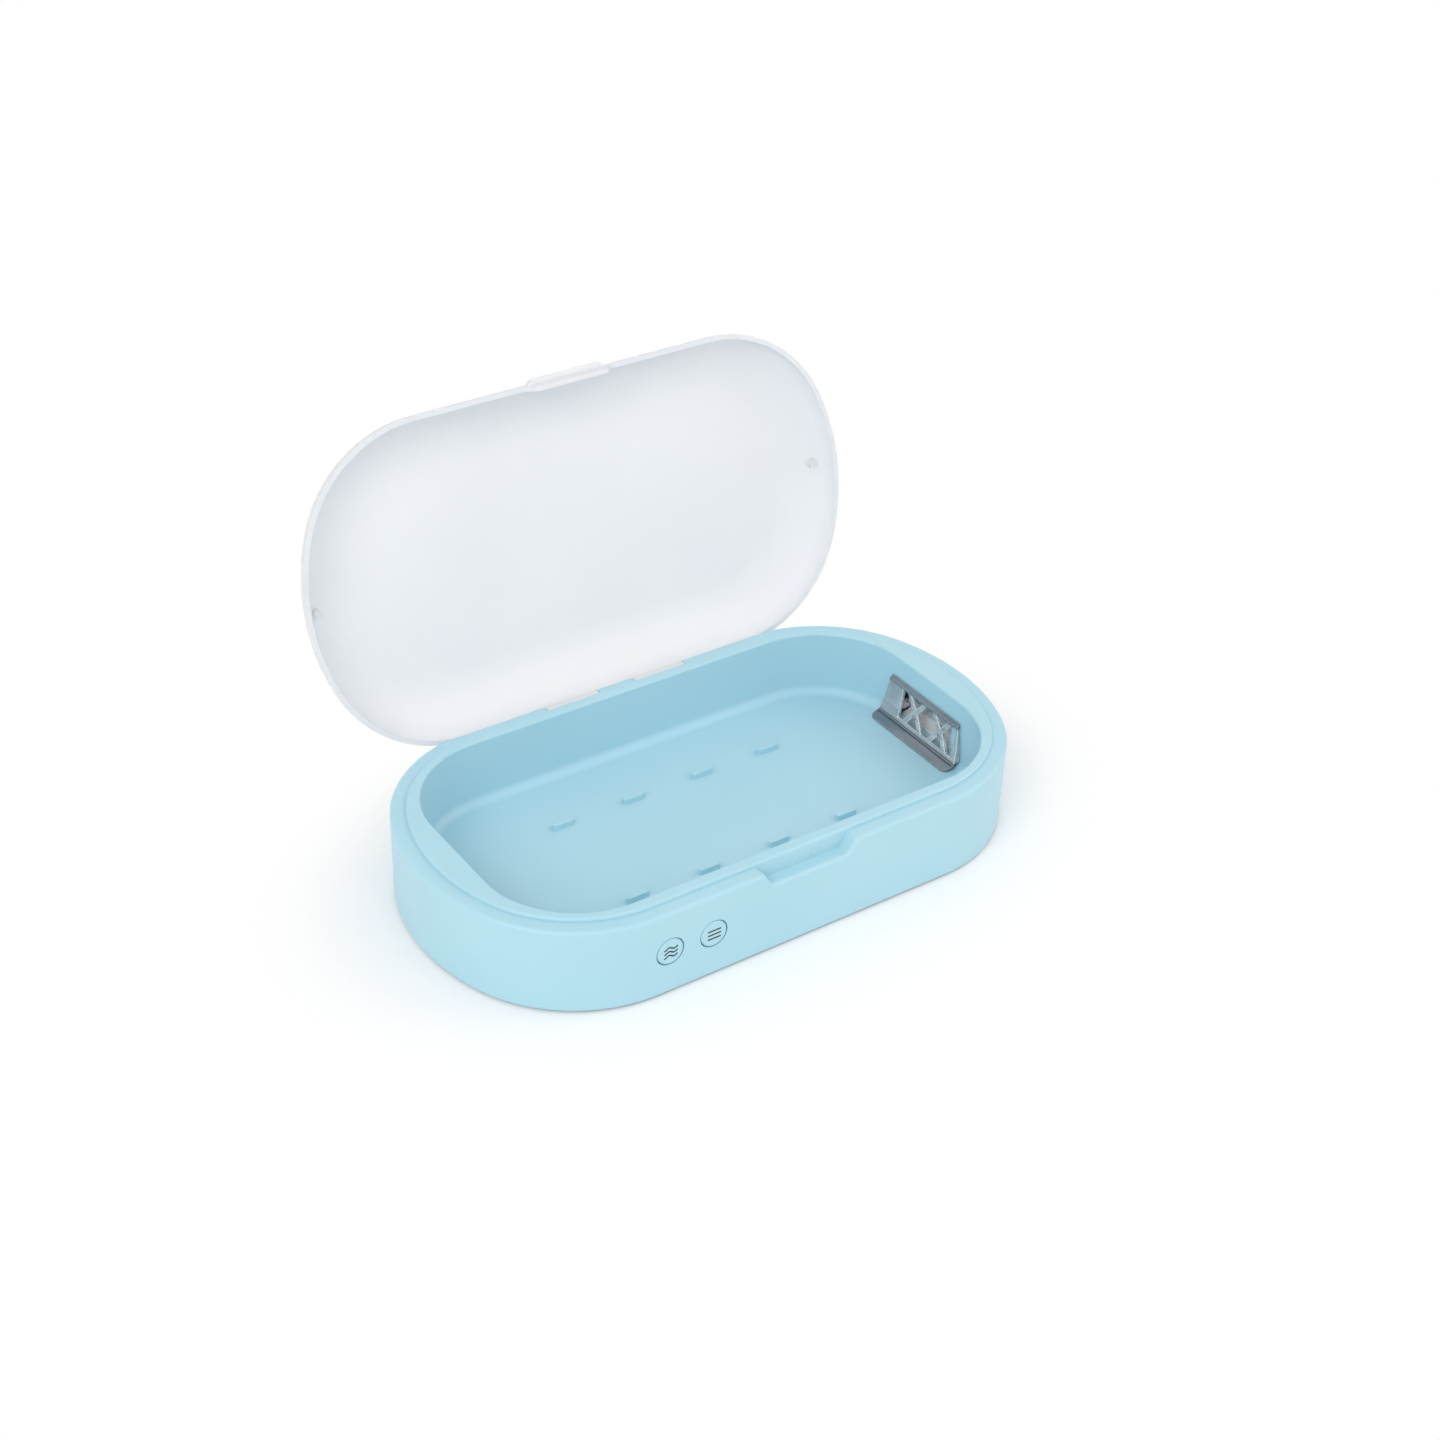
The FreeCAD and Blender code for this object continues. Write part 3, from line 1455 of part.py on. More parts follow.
def make_button_ribbon():
    """A flat cable from the foot of the button board to the front edge of the main board."""
    body = make_body("button_ribbon")
    foot = board_top - d.board_thickness
    upright = button_board_back - d.ribbon_thickness
    button_board_foot = d.button_level - d.button_board_height / 2
    profile = make_sketch(body, "RibbonProfile", "YZ_Plane", ribbon_x)
    draw_polygon(profile, [
        (upright, foot),
        (-d.main_board_front, foot),
        (-d.main_board_front, foot + d.ribbon_thickness),
        (button_board_back, foot + d.ribbon_thickness),
        (button_board_back, button_board_foot),
        (upright, button_board_foot),
    ])
    pad(body, profile, d.ribbon_width)
    return body


# Control board under the floor, with its parts and the power inlet

board_half = d.board_ribbon_margin - ribbon_x
inlet_x = board_half - d.inlet_inset

def board_holes():
    right = board_half - d.board_hole_inset
    left = -right
    front = d.board_hole_inset - d.main_board_front
    rear = tray_side - d.board_hole_inset * 2
    return [(left, front), (right, front), (left, rear), (right, rear)]


def make_main_board():
    plate = make_box(
        "BoardPlate",
        (-board_half, board_half),
        (-d.main_board_front, skirt_inside - d.board_skirt_gap),
        (board_under, board_top),
    )
    holes = [
        make_cylinder(
            f"BoardHole{number}",
            "Z",
            x,
            y,
            board_under - d.overrun,
            d.board_screw_radius + d.screw_fit,
            d.board_thickness + d.overrun * 2,
        )
        for number, (x, y) in enumerate(board_holes(), start=1)
    ]
    return make_cut("main_board", plate, make_fuse("BoardHoles", holes))


def make_board_parts():
    """Two flat chips under the board, and the tall driver parts in the strip behind the tray."""
    chip_z = (board_under - d.chip_height, board_under)
    parts = [
        make_box(
            f"Chip{number}",
            centred(d.part_spacing * place_share, d.chip_side),
            centred(ZERO, d.chip_side),
            chip_z,
        )
        for number, place_share in enumerate((-1, 0.5), start=1)
    ]
    transformer = make_box(
        "Transformer",
        centred(-d.part_spacing, d.transformer_width),
        (block_face, block_face + d.transformer_depth),
        (board_top, board_top + d.transformer_height),
    )
    capacitor = make_cylinder(
        "Capacitor",
        "Z",
        ZERO,
        block_face + d.capacitor_radius,
        board_top,
        d.capacitor_radius,
        d.capacitor_height,
    )
    return make_group("board_parts", parts + [transformer, capacitor])


def make_screw(number, kind, x, y, head_z, head_radius, head_height, radius, length):
    """A screw driven upwards: a round head with its shank above it."""
    head = make_cylinder(f"{kind}Head{number}", "Z", x, y, head_z, head_radius, head_height)
    shank = make_cylinder(f"{kind}Shank{number}", "Z", x, y, head_z, radius, head_height + length)
    return make_fuse(f"{kind}{number}", [head, shank])


def make_board_screws():
    screws = [
        make_screw(
            number,
            "BoardScrew",
            x,
            y,
            board_under - d.board_screw_head_height,
            d.board_screw_head_radius,
            d.board_screw_head_height,
            d.board_screw_radius,
            d.board_screw_length,
        )
        for number, (x, y) in enumerate(board_holes(), start=1)
    ]
    return make_group("board_screws", screws)


def make_inlet():
    """A metal shell round a thin tongue, with its mouth in the rear wall."""
    body = make_body("usb_inlet")
    mouth = half_width - d.inlet_setback
    back = tray_side + d.inlet_back_gap
    mouth_depth = mouth - back - d.inlet_back_wall
    x = centred(inlet_x, d.inlet_width)
    z = (board_top, board_top + d.inlet_height)
    shell = make_sketch(body, "InletShell", "XZ_Plane", -mouth)
    draw_rounded_rectangle(shell, x, z, d.inlet_corner_radius)
    pad(body, shell, mouth - back)
    inside = make_sketch(body, "InletMouth", "XZ_Plane", -mouth)
    draw_rounded_rectangle(
        inside,
        (x[0] + d.inlet_sheet, x[1] - d.inlet_sheet),
        (z[0] + d.inlet_sheet, z[1] - d.inlet_sheet),
        d.inlet_corner_radius - d.inlet_sheet,
    )
    pocket(body, inside, mouth_depth, backwards=True)
    tongue = make_sketch(body, "InletTongue", "XZ_Plane", -(mouth - d.inlet_setback))
    tongue_x = centred(inlet_x, d.inlet_width - d.inlet_tongue_inset * 2)
    tongue_z = centred((z[0] + z[1]) / 2, d.inlet_tongue)
    draw_polygon(tongue, [
        (tongue_x[0], tongue_z[0]),
        (tongue_x[1], tongue_z[0]),
        (tongue_x[1], tongue_z[1]),
        (tongue_x[0], tongue_z[1]),
    ])
    pad(body, tongue, mouth_depth)
    return body


def make_lid_sensors():
    """A glass reed switch close under the lip at each end."""
    sensors = [
        make_cylinder(
            f"Sensor{number}",
            "Y",
            x,
            -d.sensor_length / 2,
            d.ledge_level - d.sensor_gap - d.sensor_radius,
            d.sensor_radius,
            d.sensor_length,
        )
        for number, x in enumerate((-magnet_x, magnet_x), start=1)
    ]
    return make_group("lid_sensors", sensors)


# Underside: bottom cover, screws and feet


def post_places():
    return four_places((board_half + d.post_board_gap) * 2, d.body_width - d.post_side_inset * 2)


def foot_places():
    return four_places(d.body_length - d.foot_end_inset * 2, d.body_width - d.foot_side_inset * 2)


def make_bottom_cover():
    body = make_body("bottom_cover")
    plate = make_sketch(body, "BottomPlate", offset=bottom_level)
    draw_body_oval(plate, d.skirt_wall + d.bottom_gap)
    pad(body, plate, d.bottom_plate)
    seats = make_sketch(body, "FootSeats", offset=bottom_level)
    for x, y in foot_places():
        draw_circle(seats, x, y, d.foot_radius + d.screw_fit)
    pocket(body, seats, d.foot_inset, backwards=True)
    holes = make_sketch(body, "ScrewHoles", offset=bottom_level)
    for x, y in post_places():
        draw_circle(holes, x, y, d.screw_radius + d.screw_hole_clearance)
    pocket(body, holes, d.bottom_plate, backwards=True)
    sinks = make_sketch(body, "ScrewSinks", offset=bottom_level)
    for x, y in post_places():
        draw_circle(sinks, x, y, d.screw_head_radius + d.screw_hole_clearance)
    pocket(body, sinks, d.screw_head_height, backwards=True)
    return body


def make_cover_screws():
    screws = [
        make_screw(
            number,
            "CoverScrew",
            x,
            y,
            bottom_level,
            d.screw_head_radius,
            d.screw_head_height,
            d.screw_radius,
            d.screw_length,
        )
        for number, (x, y) in enumerate(post_places(), start=1)
    ]
    return make_group("cover_screws", screws)


def make_foot_pads():
    feet = []
    for number, (x, y) in enumerate(foot_places(), start=1):
        foot = make_cylinder(f"Foot{number}", "Z", x, y, ZERO, d.foot_radius, bottom_level + d.foot_inset)
        doc.recompute()
        rounded = doc.addObject("Part::Fillet", f"RoundFoot{number}")
        rounded.Base = foot
        radius = d.foot_edge_radius.value
        rounded.Edges = [
            (index, radius, radius)
            for index, edge in enumerate(foot.Shape.Edges, start=1)
            if same(edge.BoundBox.ZMax, ZERO)
        ]
        feet.append(rounded)
    return make_group("foot_pads", feet)


def make_pieces():
    right_end = [
        make_lamp_cover(),
        make_lamp(),
        make_lamp_caps(),
        make_lamp_holders(),
        make_reflector(),
    ]
    left_end = [make_mirror(item.Name.replace("_right", "_left"), item) for item in right_end]
    left_button, right_button = button_places()
    return right_end + left_end + [
        make_outer_housing(),
        make_chamber_tray(),
        make_bottom_cover(),
        make_foot_pads(),
        make_cover_screws(),
        make_lid(),
        make_lid_magnets(),
        make_hinge_pin(),
        make_button("button_aroma", left_button),
        make_button("button_uv", right_button),
        make_button_board(),
        make_key_switches(),
        make_button_ribbon(),
        make_main_board(),
        make_board_parts(),
        make_board_screws(),
        make_inlet(),
        make_lid_sensors(),
        make_leads("lamp_leads_right", 1),
        make_leads("lamp_leads_left", -1),
    ]


def check(pieces):
    """Stop before anything is written if an object failed or a shape is bad."""
    for item in doc.Objects:
        if {"Invalid", "Error"} & set(item.State):
            raise RuntimeError(f"{item.Name} failed: {item.State}")
    for piece in pieces:
        if piece.Shape.isNull() or not piece.Shape.isValid():
            raise RuntimeError(f"{piece.Name} has no valid shape")


pieces = make_pieces()
doc.recompute()
check(pieces)
os.makedirs("parts", exist_ok=True)
for piece in pieces:
    piece.Label = piece.Name
    piece.Shape.exportStep(f"parts/{piece.Label}.step")
    print(f"{piece.Label}: {len(piece.Shape.Solids)} solids, {piece.Shape.Volume:.1f} mm3")
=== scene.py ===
import math

import bmesh
import bpy
from mathutils import Matrix, Vector
from mathutils.bvhtree import BVHTree


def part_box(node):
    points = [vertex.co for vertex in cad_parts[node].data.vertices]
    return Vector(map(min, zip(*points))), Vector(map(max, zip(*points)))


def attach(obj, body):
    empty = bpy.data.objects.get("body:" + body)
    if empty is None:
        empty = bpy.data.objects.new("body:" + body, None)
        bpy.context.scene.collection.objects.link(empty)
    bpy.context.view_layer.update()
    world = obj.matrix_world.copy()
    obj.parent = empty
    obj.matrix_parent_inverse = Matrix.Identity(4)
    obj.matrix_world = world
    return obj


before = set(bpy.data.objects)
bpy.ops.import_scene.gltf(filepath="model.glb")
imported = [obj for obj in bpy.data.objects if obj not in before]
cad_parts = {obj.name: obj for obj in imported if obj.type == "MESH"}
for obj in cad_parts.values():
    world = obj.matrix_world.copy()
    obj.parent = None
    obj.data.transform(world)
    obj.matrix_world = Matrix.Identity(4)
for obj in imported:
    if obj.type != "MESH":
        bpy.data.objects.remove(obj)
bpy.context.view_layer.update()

# Lengths are in metres, and the small ones are written in millimetres
MM = 0.001

# Camera, fitted to the photograph: where it looks, from how far and at which angles
AIM = Vector((0.0, 0.0, 21.0)) * MM
CAMERA_DISTANCE = 0.81955
CAMERA_AZIMUTH = math.radians(-35.51)
CAMERA_ELEVATION = math.radians(36.01)
CAMERA_ROLL = math.radians(2.10)
CAMERA_LENS = 57.80
CAMERA_SENSOR = 36.0
CAMERA_SHIFT = (0.00967, 0.0516)

# Printed signs on the two buttons: three lines each, with rows counted from the middle one
SIGN_ROWS = (-1, 0, 1)
SIGN_LENGTH = 5.2 * MM
SIGN_LINE_WIDTH = 0.55 * MM
SIGN_LINE_PITCH = 1.62 * MM
SIGN_WAVE_HEIGHT = 0.42 * MM
SIGN_WAVES = 1.35
SIGN_STEPS = 48
SIGN_THICKNESS = 0.04 * MM
# How far before a button the rays start that find its face, and which way they run
RAY_LEAD = 5.2 * MM
INWARD = Vector((0, 1, 0))

# Rounding that catches the light on the sharp edges of the lamp covers
LAMP_COVERS = ("lamp_cover_right", "lamp_cover_left")
COVER_EDGE = 0.22 * MM
COVER_EDGE_STEPS = 2
MERGE_DISTANCE = 0.001 * MM
FLAT_ANGLE = math.radians(0.5)

# Shares of a lamp cover's height: top of the skirt, band of painted crease shade, clear face and foot
# of the rim
SKIRT_TOP_SHARE = 0.085
CREASE_SHADE_SHARES = (0.1, 0.125)
FACE_SHARES = (0.15, 0.84)
RIM_FOOT_SHARE = 0.9
# The same for its edges, which are greyer below and above and carry a painted highlight along the face
EDGE_FOOT_SHARE = 0.12
EDGE_HIGHLIGHT_SHARES = (0.17, 0.86)
EDGE_RIM_SHARE = 0.92

# Values of a noise between which most of it lies, and between which a base colour changes
NOISE_SPAN = (0.3, 0.7)
COLOUR_SPAN = (0.35, 0.65)

# Stage: a round floor, and the oval round the object where it keeps a shadow
FLOOR_RADIUS = 6.0
FLOOR_SIDES = 96
FLOOR_ROUGHNESS = 0.9
SHADOW_REACH = (0.125, 0.080)
SHADOW_FADE = (0.92, 1.45)
WORLD_LEVEL = 0.76
WHITE = (1, 1, 1, 1)

# Lamps: name, place, side of the square panel, power in watts
LAMPS = (
    ("front", Vector((0.35, -1.6, 0.9)), 1.2, 2.0),
    ("left", Vector((-1.25, -0.7, 1.2)), 1.0, 10.5),
    ("right", Vector((1.3, -0.6, 1.1)), 1.0, 4.5),
)

# The screen's colour curve: a straight foot, then a power
SCREEN_WHITE = 255
SCREEN_FOOT_END = 0.04045
SCREEN_FOOT_SLOPE = 12.92
SCREEN_OFFSET = 0.055
SCREEN_POWER = 2.4


def linear(red, green, blue):
    """A colour as the screen shows it, 0 to 255, in the linear values that a shader takes."""
    def channel(value):
        share = value / SCREEN_WHITE
        if share <= SCREEN_FOOT_END:
            return share / SCREEN_FOOT_SLOPE
        return ((share + SCREEN_OFFSET) / (1 + SCREEN_OFFSET)) ** SCREEN_POWER

    return (channel(red), channel(green), channel(blue), 1.0)


class Surface:
    """A node material with one Principled shader, and short calls that add detail to it."""

    def __init__(self, name):
        self.material = bpy.data.materials.new(name)
        self.material.use_nodes = True
        self.tree = self.material.node_tree
        self.shader = self.tree.nodes["Principled BSDF"]
        self.place = self.node("TexCoord").outputs["Object"]

    def node(self, kind):
        return self.tree.nodes.new("ShaderNode" + kind)

    def link(self, source, target):
        self.tree.links.new(source, target)

    def set(self, **values):
        """Constants on the shader's own sockets, such as ior or transmission_weight."""
        for name, value in values.items():
            socket = name.replace("_", " ").title().replace("Ior", "IOR")
            self.shader.inputs[socket].default_value = value
        return self

    def noise(self, size, detail=2.0, stretch=(1, 1, 1)):
        """Noise whose patches are about one size across, longer along an axis with stretch over 1."""
        mapping = self.node("Mapping")
        mapping.inputs["Scale"].default_value = [1 / times for times in stretch]
        self.link(self.place, mapping.inputs["Vector"])
        noise = self.node("TexNoise")
        noise.inputs["Scale"].default_value = 1 / size
        noise.inputs["Detail"].default_value = detail
        self.link(mapping.outputs["Vector"], noise.inputs["Vector"])
        return noise.outputs["Fac"]

    def spread(self, pattern, low, high):
        """The usual values of a noise, stretched to run from low to high."""
        reach = self.node("MapRange")
        reach.inputs["From Min"].default_value, reach.inputs["From Max"].default_value = NOISE_SPAN
        reach.inputs["To Min"].default_value = low
        reach.inputs["To Max"].default_value = high
        self.link(pattern, reach.inputs["Value"])
        return reach.outputs["Result"]

    def colours(self, pattern, first, second):
        """Base colour between two shades, by a pattern."""
        ramp = self.node("ValToRGB")
        stops = zip(ramp.color_ramp.elements, COLOUR_SPAN, (first, second))
        for element, position, colour in stops:
            element.position = position
            element.color = colour
        self.link(pattern, ramp.inputs["Fac"])
        self.link(ramp.outputs["Color"], self.shader.inputs["Base Color"])

    def colours_by_height(self, levels, stops, pattern, least):
        """Base colour by share of the way between two levels, darkened down to least by a pattern."""
        parts = self.node("SeparateXYZ")
        self.link(self.place, parts.inputs["Vector"])
        way = self.node("MapRange")
        way.inputs["From Min"].default_value, way.inputs["From Max"].default_value = levels
        self.link(parts.outputs["Z"], way.inputs["Value"])
        ramp = self.node("ValToRGB")
        first, last = ramp.color_ramp.elements
        first.position, first.color = stops[0]
        last.position, last.color = stops[-1]
        for share, colour in stops[1:-1]:
            ramp.color_ramp.elements.new(share).color = colour
        self.link(way.outputs["Result"], ramp.inputs["Fac"])
        darken = self.node("VectorMath")
        darken.operation = "SCALE"
        self.link(ramp.outputs["Color"], darken.inputs["Vector"])
        self.link(self.spread(pattern, least, 1.0), darken.inputs["Scale"])
        self.link(darken.outputs["Vector"], self.shader.inputs["Base Color"])

    def roughness(self, pattern, low, high):
        self.link(self.spread(pattern, low, high), self.shader.inputs["Roughness"])

    def bump(self, pattern, depth):
        """Relief of a depth, by a pattern."""
        bump = self.node("Bump")
        bump.inputs["Distance"].default_value = depth
        bump.inputs["Strength"].default_value = 1.0
        self.link(pattern, bump.inputs["Height"])
        self.link(bump.outputs["Normal"], self.shader.inputs["Normal"])


def blue_shell():
    """Pale blue satin plastic with a fine moulded grain."""
    surface = Surface("blue_shell_finish").set(ior=1.49)
    surface.colours(surface.noise(size=60 * MM), linear(171, 213, 226), linear(175, 215, 228))
    surface.roughness(surface.noise(size=4 * MM, detail=4), low=0.36, high=0.46)
    surface.bump(surface.noise(size=0.4 * MM), depth=0.004 * MM)
    return surface.material


def frosted_lid():
    """Milky plastic with a frosted face that light passes through softly."""
    surface = Surface("frosted_lid_finish").set(ior=1.49, transmission_weight=0.3)
    surface.colours(surface.noise(size=50 * MM), linear(247, 248, 251), linear(250, 251, 253))
    surface.roughness(surface.noise(size=3 * MM, detail=4), low=0.48, high=0.60)
    surface.bump(surface.noise(size=0.5 * MM), depth=0.006 * MM)
    return surface.material


def cover_levels():
    """Heights of the foot and the top of the lamp covers."""
    low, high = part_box(LAMP_COVERS[0])
    return low.z, high.z


def lamp_cover_clear():
    """Hazy clear plastic with streaks from moulding, greyer at the skirt and the rim, with a dark band
    of painted shade at the crease.
    """
    surface = Surface("lamp_cover_finish").set(ior=1.6, transmission_weight=0.68, metallic=0.18)
    streaks = surface.noise(size=2.5 * MM, stretch=(1, 8, 1))
    skirt = linear(172, 186, 199)
    # Painted shade: the crease colour darkens a band where the face meets the skirt
    crease_shade = linear(48, 58, 68)
    clear = linear(249, 251, 253)
    rim = linear(168, 182, 194)
    stops = (
        (0.0, skirt),
        (SKIRT_TOP_SHARE, skirt),
        (CREASE_SHADE_SHARES[0], crease_shade),
        (CREASE_SHADE_SHARES[1], crease_shade),
        (FACE_SHARES[0], clear),
        (FACE_SHARES[1], clear),
        (RIM_FOOT_SHARE, rim),
    )
    surface.colours_by_height(cover_levels(), stops, streaks, least=0.76)
    surface.roughness(surface.noise(size=2 * MM, detail=3), low=0.05, high=0.14)
    surface.bump(streaks, depth=0.05 * MM)
    return surface.material


def cover_edge():
    """The edges of the clear covers, slightly frosted, with a painted highlight in their colour along
    the face and greyer below and above.
    """
    surface = Surface("lamp_cover_edge_highlight").set(ior=1.55, transmission_weight=0.1, metallic=0.35)
    grey_ends = linear(150, 158, 167)
    # Painted highlight: a near-white colour for the edges along the clear face
    painted_highlight = linear(250, 252, 254)
    stops = (
        (0.0, grey_ends),
        (EDGE_FOOT_SHARE, grey_ends),
        (EDGE_HIGHLIGHT_SHARES[0], painted_highlight),
        (EDGE_HIGHLIGHT_SHARES[1], painted_highlight),
        (EDGE_RIM_SHARE, grey_ends),
    )
    surface.colours_by_height(cover_levels(), stops, surface.noise(size=1 * MM), least=0.9)
    surface.roughness(surface.noise(size=0.6 * MM), low=0.18, high=0.32)
    surface.bump(surface.noise(size=0.8 * MM), depth=0.01 * MM)
    return surface.material


def quartz():
    """Clear fused glass with a faint draw along the tube."""
    surface = Surface("quartz_finish").set(ior=1.46, transmission_weight=1.0)
    draw = surface.noise(size=2 * MM, stretch=(1, 8, 1))
    surface.colours(surface.noise(size=10 * MM), linear(238, 243, 248), linear(246, 249, 252))
    surface.roughness(draw, low=0.01, high=0.05)
    surface.bump(draw, depth=0.004 * MM)
    return surface.material


def bright_metal():
    """Milky anodised sheet, bright and slightly hazy, with fine lines along its length."""
    surface = Surface("bright_metal_finish").set(metallic=0.2)
    lines = surface.noise(size=0.4 * MM, stretch=(1, 30, 1))
    surface.colours(lines, linear(246, 248, 250), linear(252, 252, 253))
    surface.roughness(lines, low=0.26, high=0.40)
    surface.bump(lines, depth=0.003 * MM)
    return surface.material


def steel():
    """Plated steel with a fine uneven sheen."""
    surface = Surface("steel_finish").set(metallic=1.0)
    surface.colours(surface.noise(size=2 * MM), linear(196, 198, 201), linear(208, 210, 212))
    surface.roughness(surface.noise(size=0.6 * MM, detail=4), low=0.22, high=0.36)
    surface.bump(surface.noise(size=0.3 * MM), depth=0.002 * MM)
    return surface.material


def board():
    """Green solder mask, with the slight relief of the copper and laminate under it."""
    surface = Surface("board_finish").set(ior=1.5)
    surface.colours(surface.noise(size=4 * MM), linear(22, 84, 48), linear(34, 104, 60))
    surface.roughness(surface.noise(size=2 * MM), low=0.24, high=0.38)
    surface.bump(surface.noise(size=0.8 * MM), depth=0.02 * MM)
    return surface.material


def black_plastic():
    """Black moulded plastic with a matt grain."""
    surface = Surface("black_plastic_finish").set(ior=1.5)
    surface.colours(surface.noise(size=4 * MM), linear(26, 26, 28), linear(34, 34, 37))
    surface.roughness(surface.noise(size=1 * MM), low=0.42, high=0.58)
    surface.bump(surface.noise(size=0.3 * MM), depth=0.006 * MM)
    return surface.material


def white_plastic():
    """White heat-resistant plastic, slightly mottled."""
    surface = Surface("white_plastic_finish").set(ior=1.5)
    surface.colours(surface.noise(size=5 * MM), linear(226, 226, 221), linear(235, 235, 231))
    surface.roughness(surface.noise(size=1 * MM), low=0.36, high=0.48)
    surface.bump(surface.noise(size=0.4 * MM), depth=0.005 * MM)
    return surface.material


def ribbon():
    """Grey flat cable with its row of wires showing as ridges."""
    surface = Surface("ribbon_finish").set(ior=1.5)
    wires = surface.noise(size=0.8 * MM, stretch=(1, 60, 60))
    surface.colours(wires, linear(192, 192, 190), linear(214, 214, 212))
    surface.roughness(wires, low=0.40, high=0.52)
    surface.bump(wires, depth=0.08 * MM)
    return surface.material


def wire_sleeve():
    """Pale soft wire insulation."""
    surface = Surface("wire_sleeve_finish").set(ior=1.45)
    surface.colours(surface.noise(size=6 * MM), linear(214, 214, 212), linear(226, 226, 224))
    surface.roughness(surface.noise(size=1 * MM), low=0.44, high=0.56)
    surface.bump(surface.noise(size=0.6 * MM), depth=0.01 * MM)
    return surface.material


def foot_rubber():
    """Dark matt rubber with a coarse grain."""
    surface = Surface("foot_rubber_finish").set(ior=1.48)
    surface.colours(surface.noise(size=2 * MM), linear(62, 64, 66), linear(74, 76, 79))
    surface.roughness(surface.noise(size=0.8 * MM), low=0.68, high=0.86)
    surface.bump(surface.noise(size=0.5 * MM), depth=0.02 * MM)
    return surface.material


def sign_ink():
    """Dark grey printed ink, slightly uneven."""
    surface = Surface("sign_ink").set(ior=1.45)
    surface.colours(surface.noise(size=0.8 * MM), linear(22, 32, 38), linear(34, 44, 50))
    surface.roughness(surface.noise(size=0.4 * MM), low=0.45, high=0.60)
    surface.bump(surface.noise(size=0.2 * MM), depth=0.003 * MM)
    return surface.material


# Each finish has the name of the slot that it is for
FINISHES = (
    blue_shell, frosted_lid, lamp_cover_clear, quartz, bright_metal, steel, board,
    black_plastic, white_plastic, ribbon, wire_sleeve, foot_rubber,
)


def finish_cad_nodes():
    """Each node of the frame takes the finish named by the slot that it came with."""
    made = {make.__name__: make() for make in FINISHES}
    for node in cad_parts.values():
        for slot in node.material_slots:
            name = slot.material.name.split(".")[0]
            slot.material = made[name]


def round_cover_edges():
    """The clear covers get a fine round on every sharp edge, coloured with a painted highlight."""
    painted_highlight = cover_edge()
    for name in LAMP_COVERS:
        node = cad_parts[name]
        node.data.materials.append(painted_highlight)
        weld = node.modifiers.new("merge", "WELD")
        weld.merge_threshold = MERGE_DISTANCE
        flat = node.modifiers.new("flat_faces", "DECIMATE")
        flat.decimate_type = "DISSOLVE"
        flat.angle_limit = FLAT_ANGLE
        bevel = node.modifiers.new("edges", "BEVEL")
        bevel.width = COVER_EDGE
        bevel.segments = COVER_EDGE_STEPS
        bevel.limit_method = "ANGLE"
        bevel.use_clamp_overlap = False
        bevel.material = len(node.data.materials) - 1


def add_object(name, mesh, material):
    """A new object of the scene, made of a finished mesh and one material."""
    data = bpy.data.meshes.new(name)
    mesh.to_mesh(data)
    mesh.free()
    data.materials.append(material)
    added = bpy.data.objects.new(name, data)
    bpy.context.scene.collection.objects.link(added)
    return added


def add_stroke(mesh, centre_line, face):
    """A thin strip of ink along a line, laid on the face that inward rays meet."""
    raised = -INWARD * SIGN_THICKNESS
    rings = []
    for step, point in enumerate(centre_line):
        before = centre_line[max(step - 1, 0)]
        after = centre_line[min(step + 1, len(centre_line) - 1)]
        along = (after - before).normalized()
        across = Vector((-along.z, 0, along.x)) * (SIGN_LINE_WIDTH / 2)
        left = face.ray_cast(point - across, INWARD)[0]
        right = face.ray_cast(point + across, INWARD)[0]
        corners = (left + raised, right + raised, right, left)
        rings.append([mesh.verts.new(corner) for corner in corners])
    for near, far in zip(rings, rings[1:]):
        for corner in range(len(near)):
            mesh.faces.new((near[corner - 1], near[corner], far[corner], far[corner - 1]))
    for ring in (rings[0], rings[-1]):
        mesh.faces.new(ring)


def make_sign(name, button, wave_height):
    """Three printed lines in the middle of a button, straight or wavy, riding on that button."""
    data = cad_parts[button].data
    points = [vertex.co for vertex in data.vertices]
    face = BVHTree.FromPolygons(points, [polygon.vertices for polygon in data.polygons])
    low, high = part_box(button)
    middle = (low + high) / 2
    mesh = bmesh.new()
    for row in SIGN_ROWS:
        line = []
        for step in range(SIGN_STEPS + 1):
            share = step / SIGN_STEPS
            rise = -wave_height * math.cos(share * SIGN_WAVES * math.tau)
            line.append(Vector((
                middle.x - SIGN_LENGTH / 2 + share * SIGN_LENGTH,
                low.y - RAY_LEAD,
                middle.z + row * SIGN_LINE_PITCH + rise,
            )))
        add_stroke(mesh, line, face)
    bmesh.ops.recalc_face_normals(mesh, faces=mesh.faces)
    sign = add_object(name, mesh, sign_ink())
    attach(sign, button)


def seen_directly(tree):
    """One for rays that show the picture: from the camera, off gloss or through clear pieces."""
    path = tree.nodes.new("ShaderNodeLightPath")
    first = tree.nodes.new("ShaderNodeMath")
    tree.links.new(path.outputs["Is Camera Ray"], first.inputs[0])
    tree.links.new(path.outputs["Is Glossy Ray"], first.inputs[1])
    second = tree.nodes.new("ShaderNodeMath")
    second.use_clamp = True
    tree.links.new(first.outputs["Value"], second.inputs[0])
    tree.links.new(path.outputs["Is Transmission Ray"], second.inputs[1])
    return second.outputs["Value"]


def mix_shaders(tree, share, first, second):
    """One shader that gives way to another by a share."""
    mix = tree.nodes.new("ShaderNodeMixShader")
    tree.links.new(share, mix.inputs["Fac"])
    tree.links.new(first, mix.inputs[1])
    tree.links.new(second, mix.inputs[2])
    return mix.outputs["Shader"]


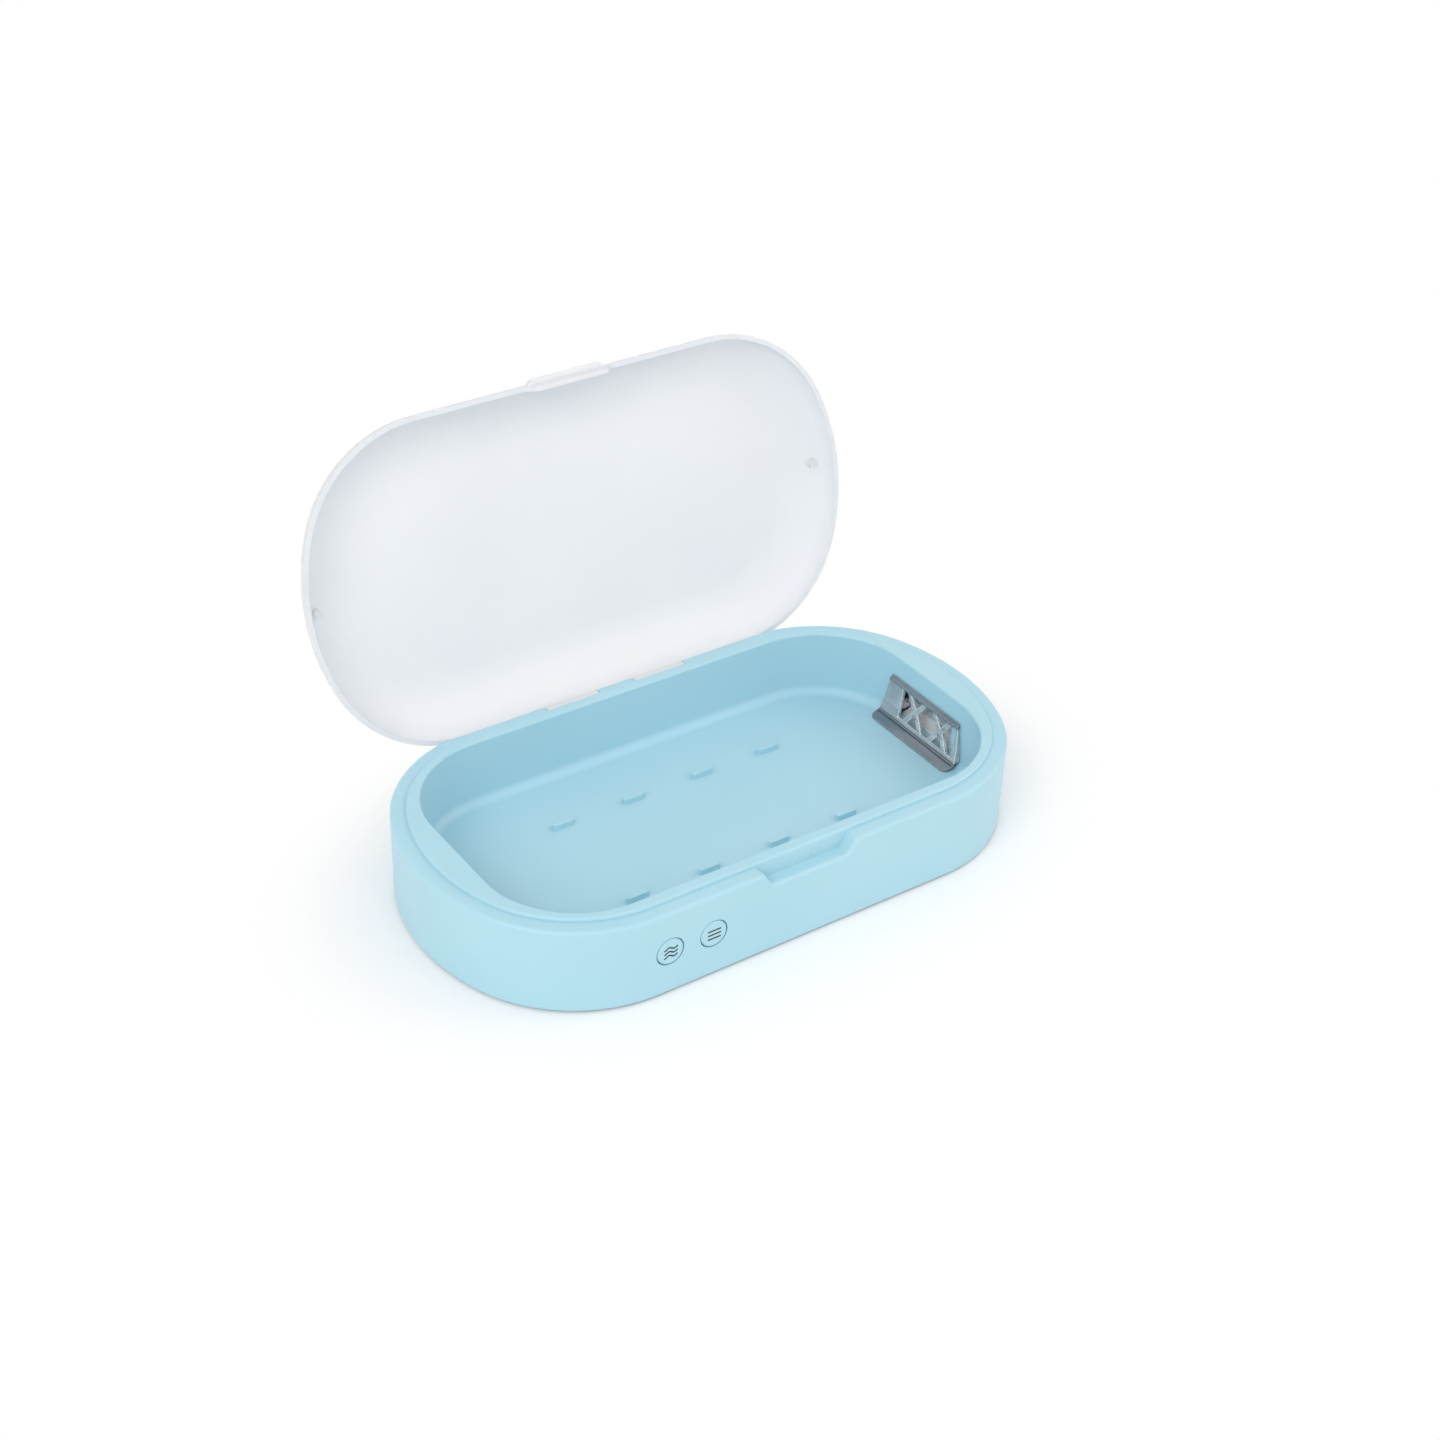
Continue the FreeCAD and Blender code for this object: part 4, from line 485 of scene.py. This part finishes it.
def make_world():
    """Even soft light, with a white background where it is seen."""
    world = bpy.data.worlds.new("studio")
    bpy.context.scene.world = world
    world.use_nodes = True
    tree = world.node_tree
    light = tree.nodes["Background"]
    light.inputs["Color"].default_value = WHITE
    light.inputs["Strength"].default_value = WORLD_LEVEL
    white = tree.nodes.new("ShaderNodeBackground")
    white.inputs["Color"].default_value = WHITE
    mixed = mix_shaders(
        tree, seen_directly(tree), light.outputs["Background"], white.outputs["Background"]
    )
    tree.links.new(mixed, tree.nodes["World Output"].inputs["Surface"])


def floor_material():
    """Pale floor that keeps the object's shadow and turns into the white background further out."""
    material = bpy.data.materials.new("floor_pale")
    material.use_nodes = True
    tree = material.node_tree
    pale = tree.nodes["Principled BSDF"]
    pale.inputs["Base Color"].default_value = linear(250, 250, 250)
    pale.inputs["Roughness"].default_value = FLOOR_ROUGHNESS
    pale.inputs["Specular IOR Level"].default_value = 0.0
    white = tree.nodes.new("ShaderNodeEmission")
    white.inputs["Color"].default_value = WHITE
    place = tree.nodes.new("ShaderNodeTexCoord")
    oval = tree.nodes.new("ShaderNodeMapping")
    oval.inputs["Scale"].default_value = [1 / reach for reach in SHADOW_REACH] + [1]
    tree.links.new(place.outputs["Object"], oval.inputs["Vector"])
    length = tree.nodes.new("ShaderNodeVectorMath")
    length.operation = "LENGTH"
    tree.links.new(oval.outputs["Vector"], length.inputs[0])
    fade = tree.nodes.new("ShaderNodeMapRange")
    fade.interpolation_type = "SMOOTHSTEP"
    fade.inputs["From Min"].default_value, fade.inputs["From Max"].default_value = SHADOW_FADE
    tree.links.new(length.outputs["Value"], fade.inputs["Value"])
    share = tree.nodes.new("ShaderNodeMath")
    share.operation = "MULTIPLY"
    tree.links.new(fade.outputs["Result"], share.inputs[0])
    tree.links.new(seen_directly(tree), share.inputs[1])
    mixed = mix_shaders(
        tree, share.outputs["Value"], pale.outputs["BSDF"], white.outputs["Emission"]
    )
    tree.links.new(mixed, tree.nodes["Material Output"].inputs["Surface"])
    return material


def make_floor():
    mesh = bmesh.new()
    bmesh.ops.create_circle(mesh, cap_ends=True, segments=FLOOR_SIDES, radius=FLOOR_RADIUS)
    floor = add_object("floor", mesh, floor_material())


def make_lamps():
    """Square panels that face the object and don't show in the picture."""
    for name, place, side, power in LAMPS:
        data = bpy.data.lights.new(name, "AREA")
        data.shape = "SQUARE"
        data.size = side
        data.energy = power
        lamp = bpy.data.objects.new(name, data)
        lamp.location = place
        lamp.rotation_mode = "QUATERNION"
        lamp.rotation_quaternion = (AIM - place).to_track_quat("-Z", "Y")
        lamp.visible_camera = False
        bpy.context.scene.collection.objects.link(lamp)


def make_camera():
    """The photograph's viewpoint: turned round the aim, tilted down and rolled."""
    turn = (
        Matrix.Rotation(CAMERA_AZIMUTH, 4, "Z")
        @ Matrix.Rotation(math.pi / 2 - CAMERA_ELEVATION, 4, "X")
        @ Matrix.Rotation(CAMERA_ROLL, 4, "Z")
    )
    data = bpy.data.cameras.new("photo_camera")
    data.lens = CAMERA_LENS
    data.sensor_width = CAMERA_SENSOR
    data.shift_x, data.shift_y = CAMERA_SHIFT
    camera = bpy.data.objects.new("photo_camera", data)
    camera.matrix_world = Matrix.Translation(AIM + turn.col[2].to_3d() * CAMERA_DISTANCE) @ turn
    bpy.context.scene.collection.objects.link(camera)
    bpy.context.scene.camera = camera


make_camera()
finish_cad_nodes()
round_cover_edges()
make_sign("sign_wavy_lines", "button_aroma", SIGN_WAVE_HEIGHT)
make_sign("sign_straight_lines", "button_uv", 0.0)
make_world()
make_floor()
make_lamps()
bpy.context.scene.view_settings.view_transform = "Standard"
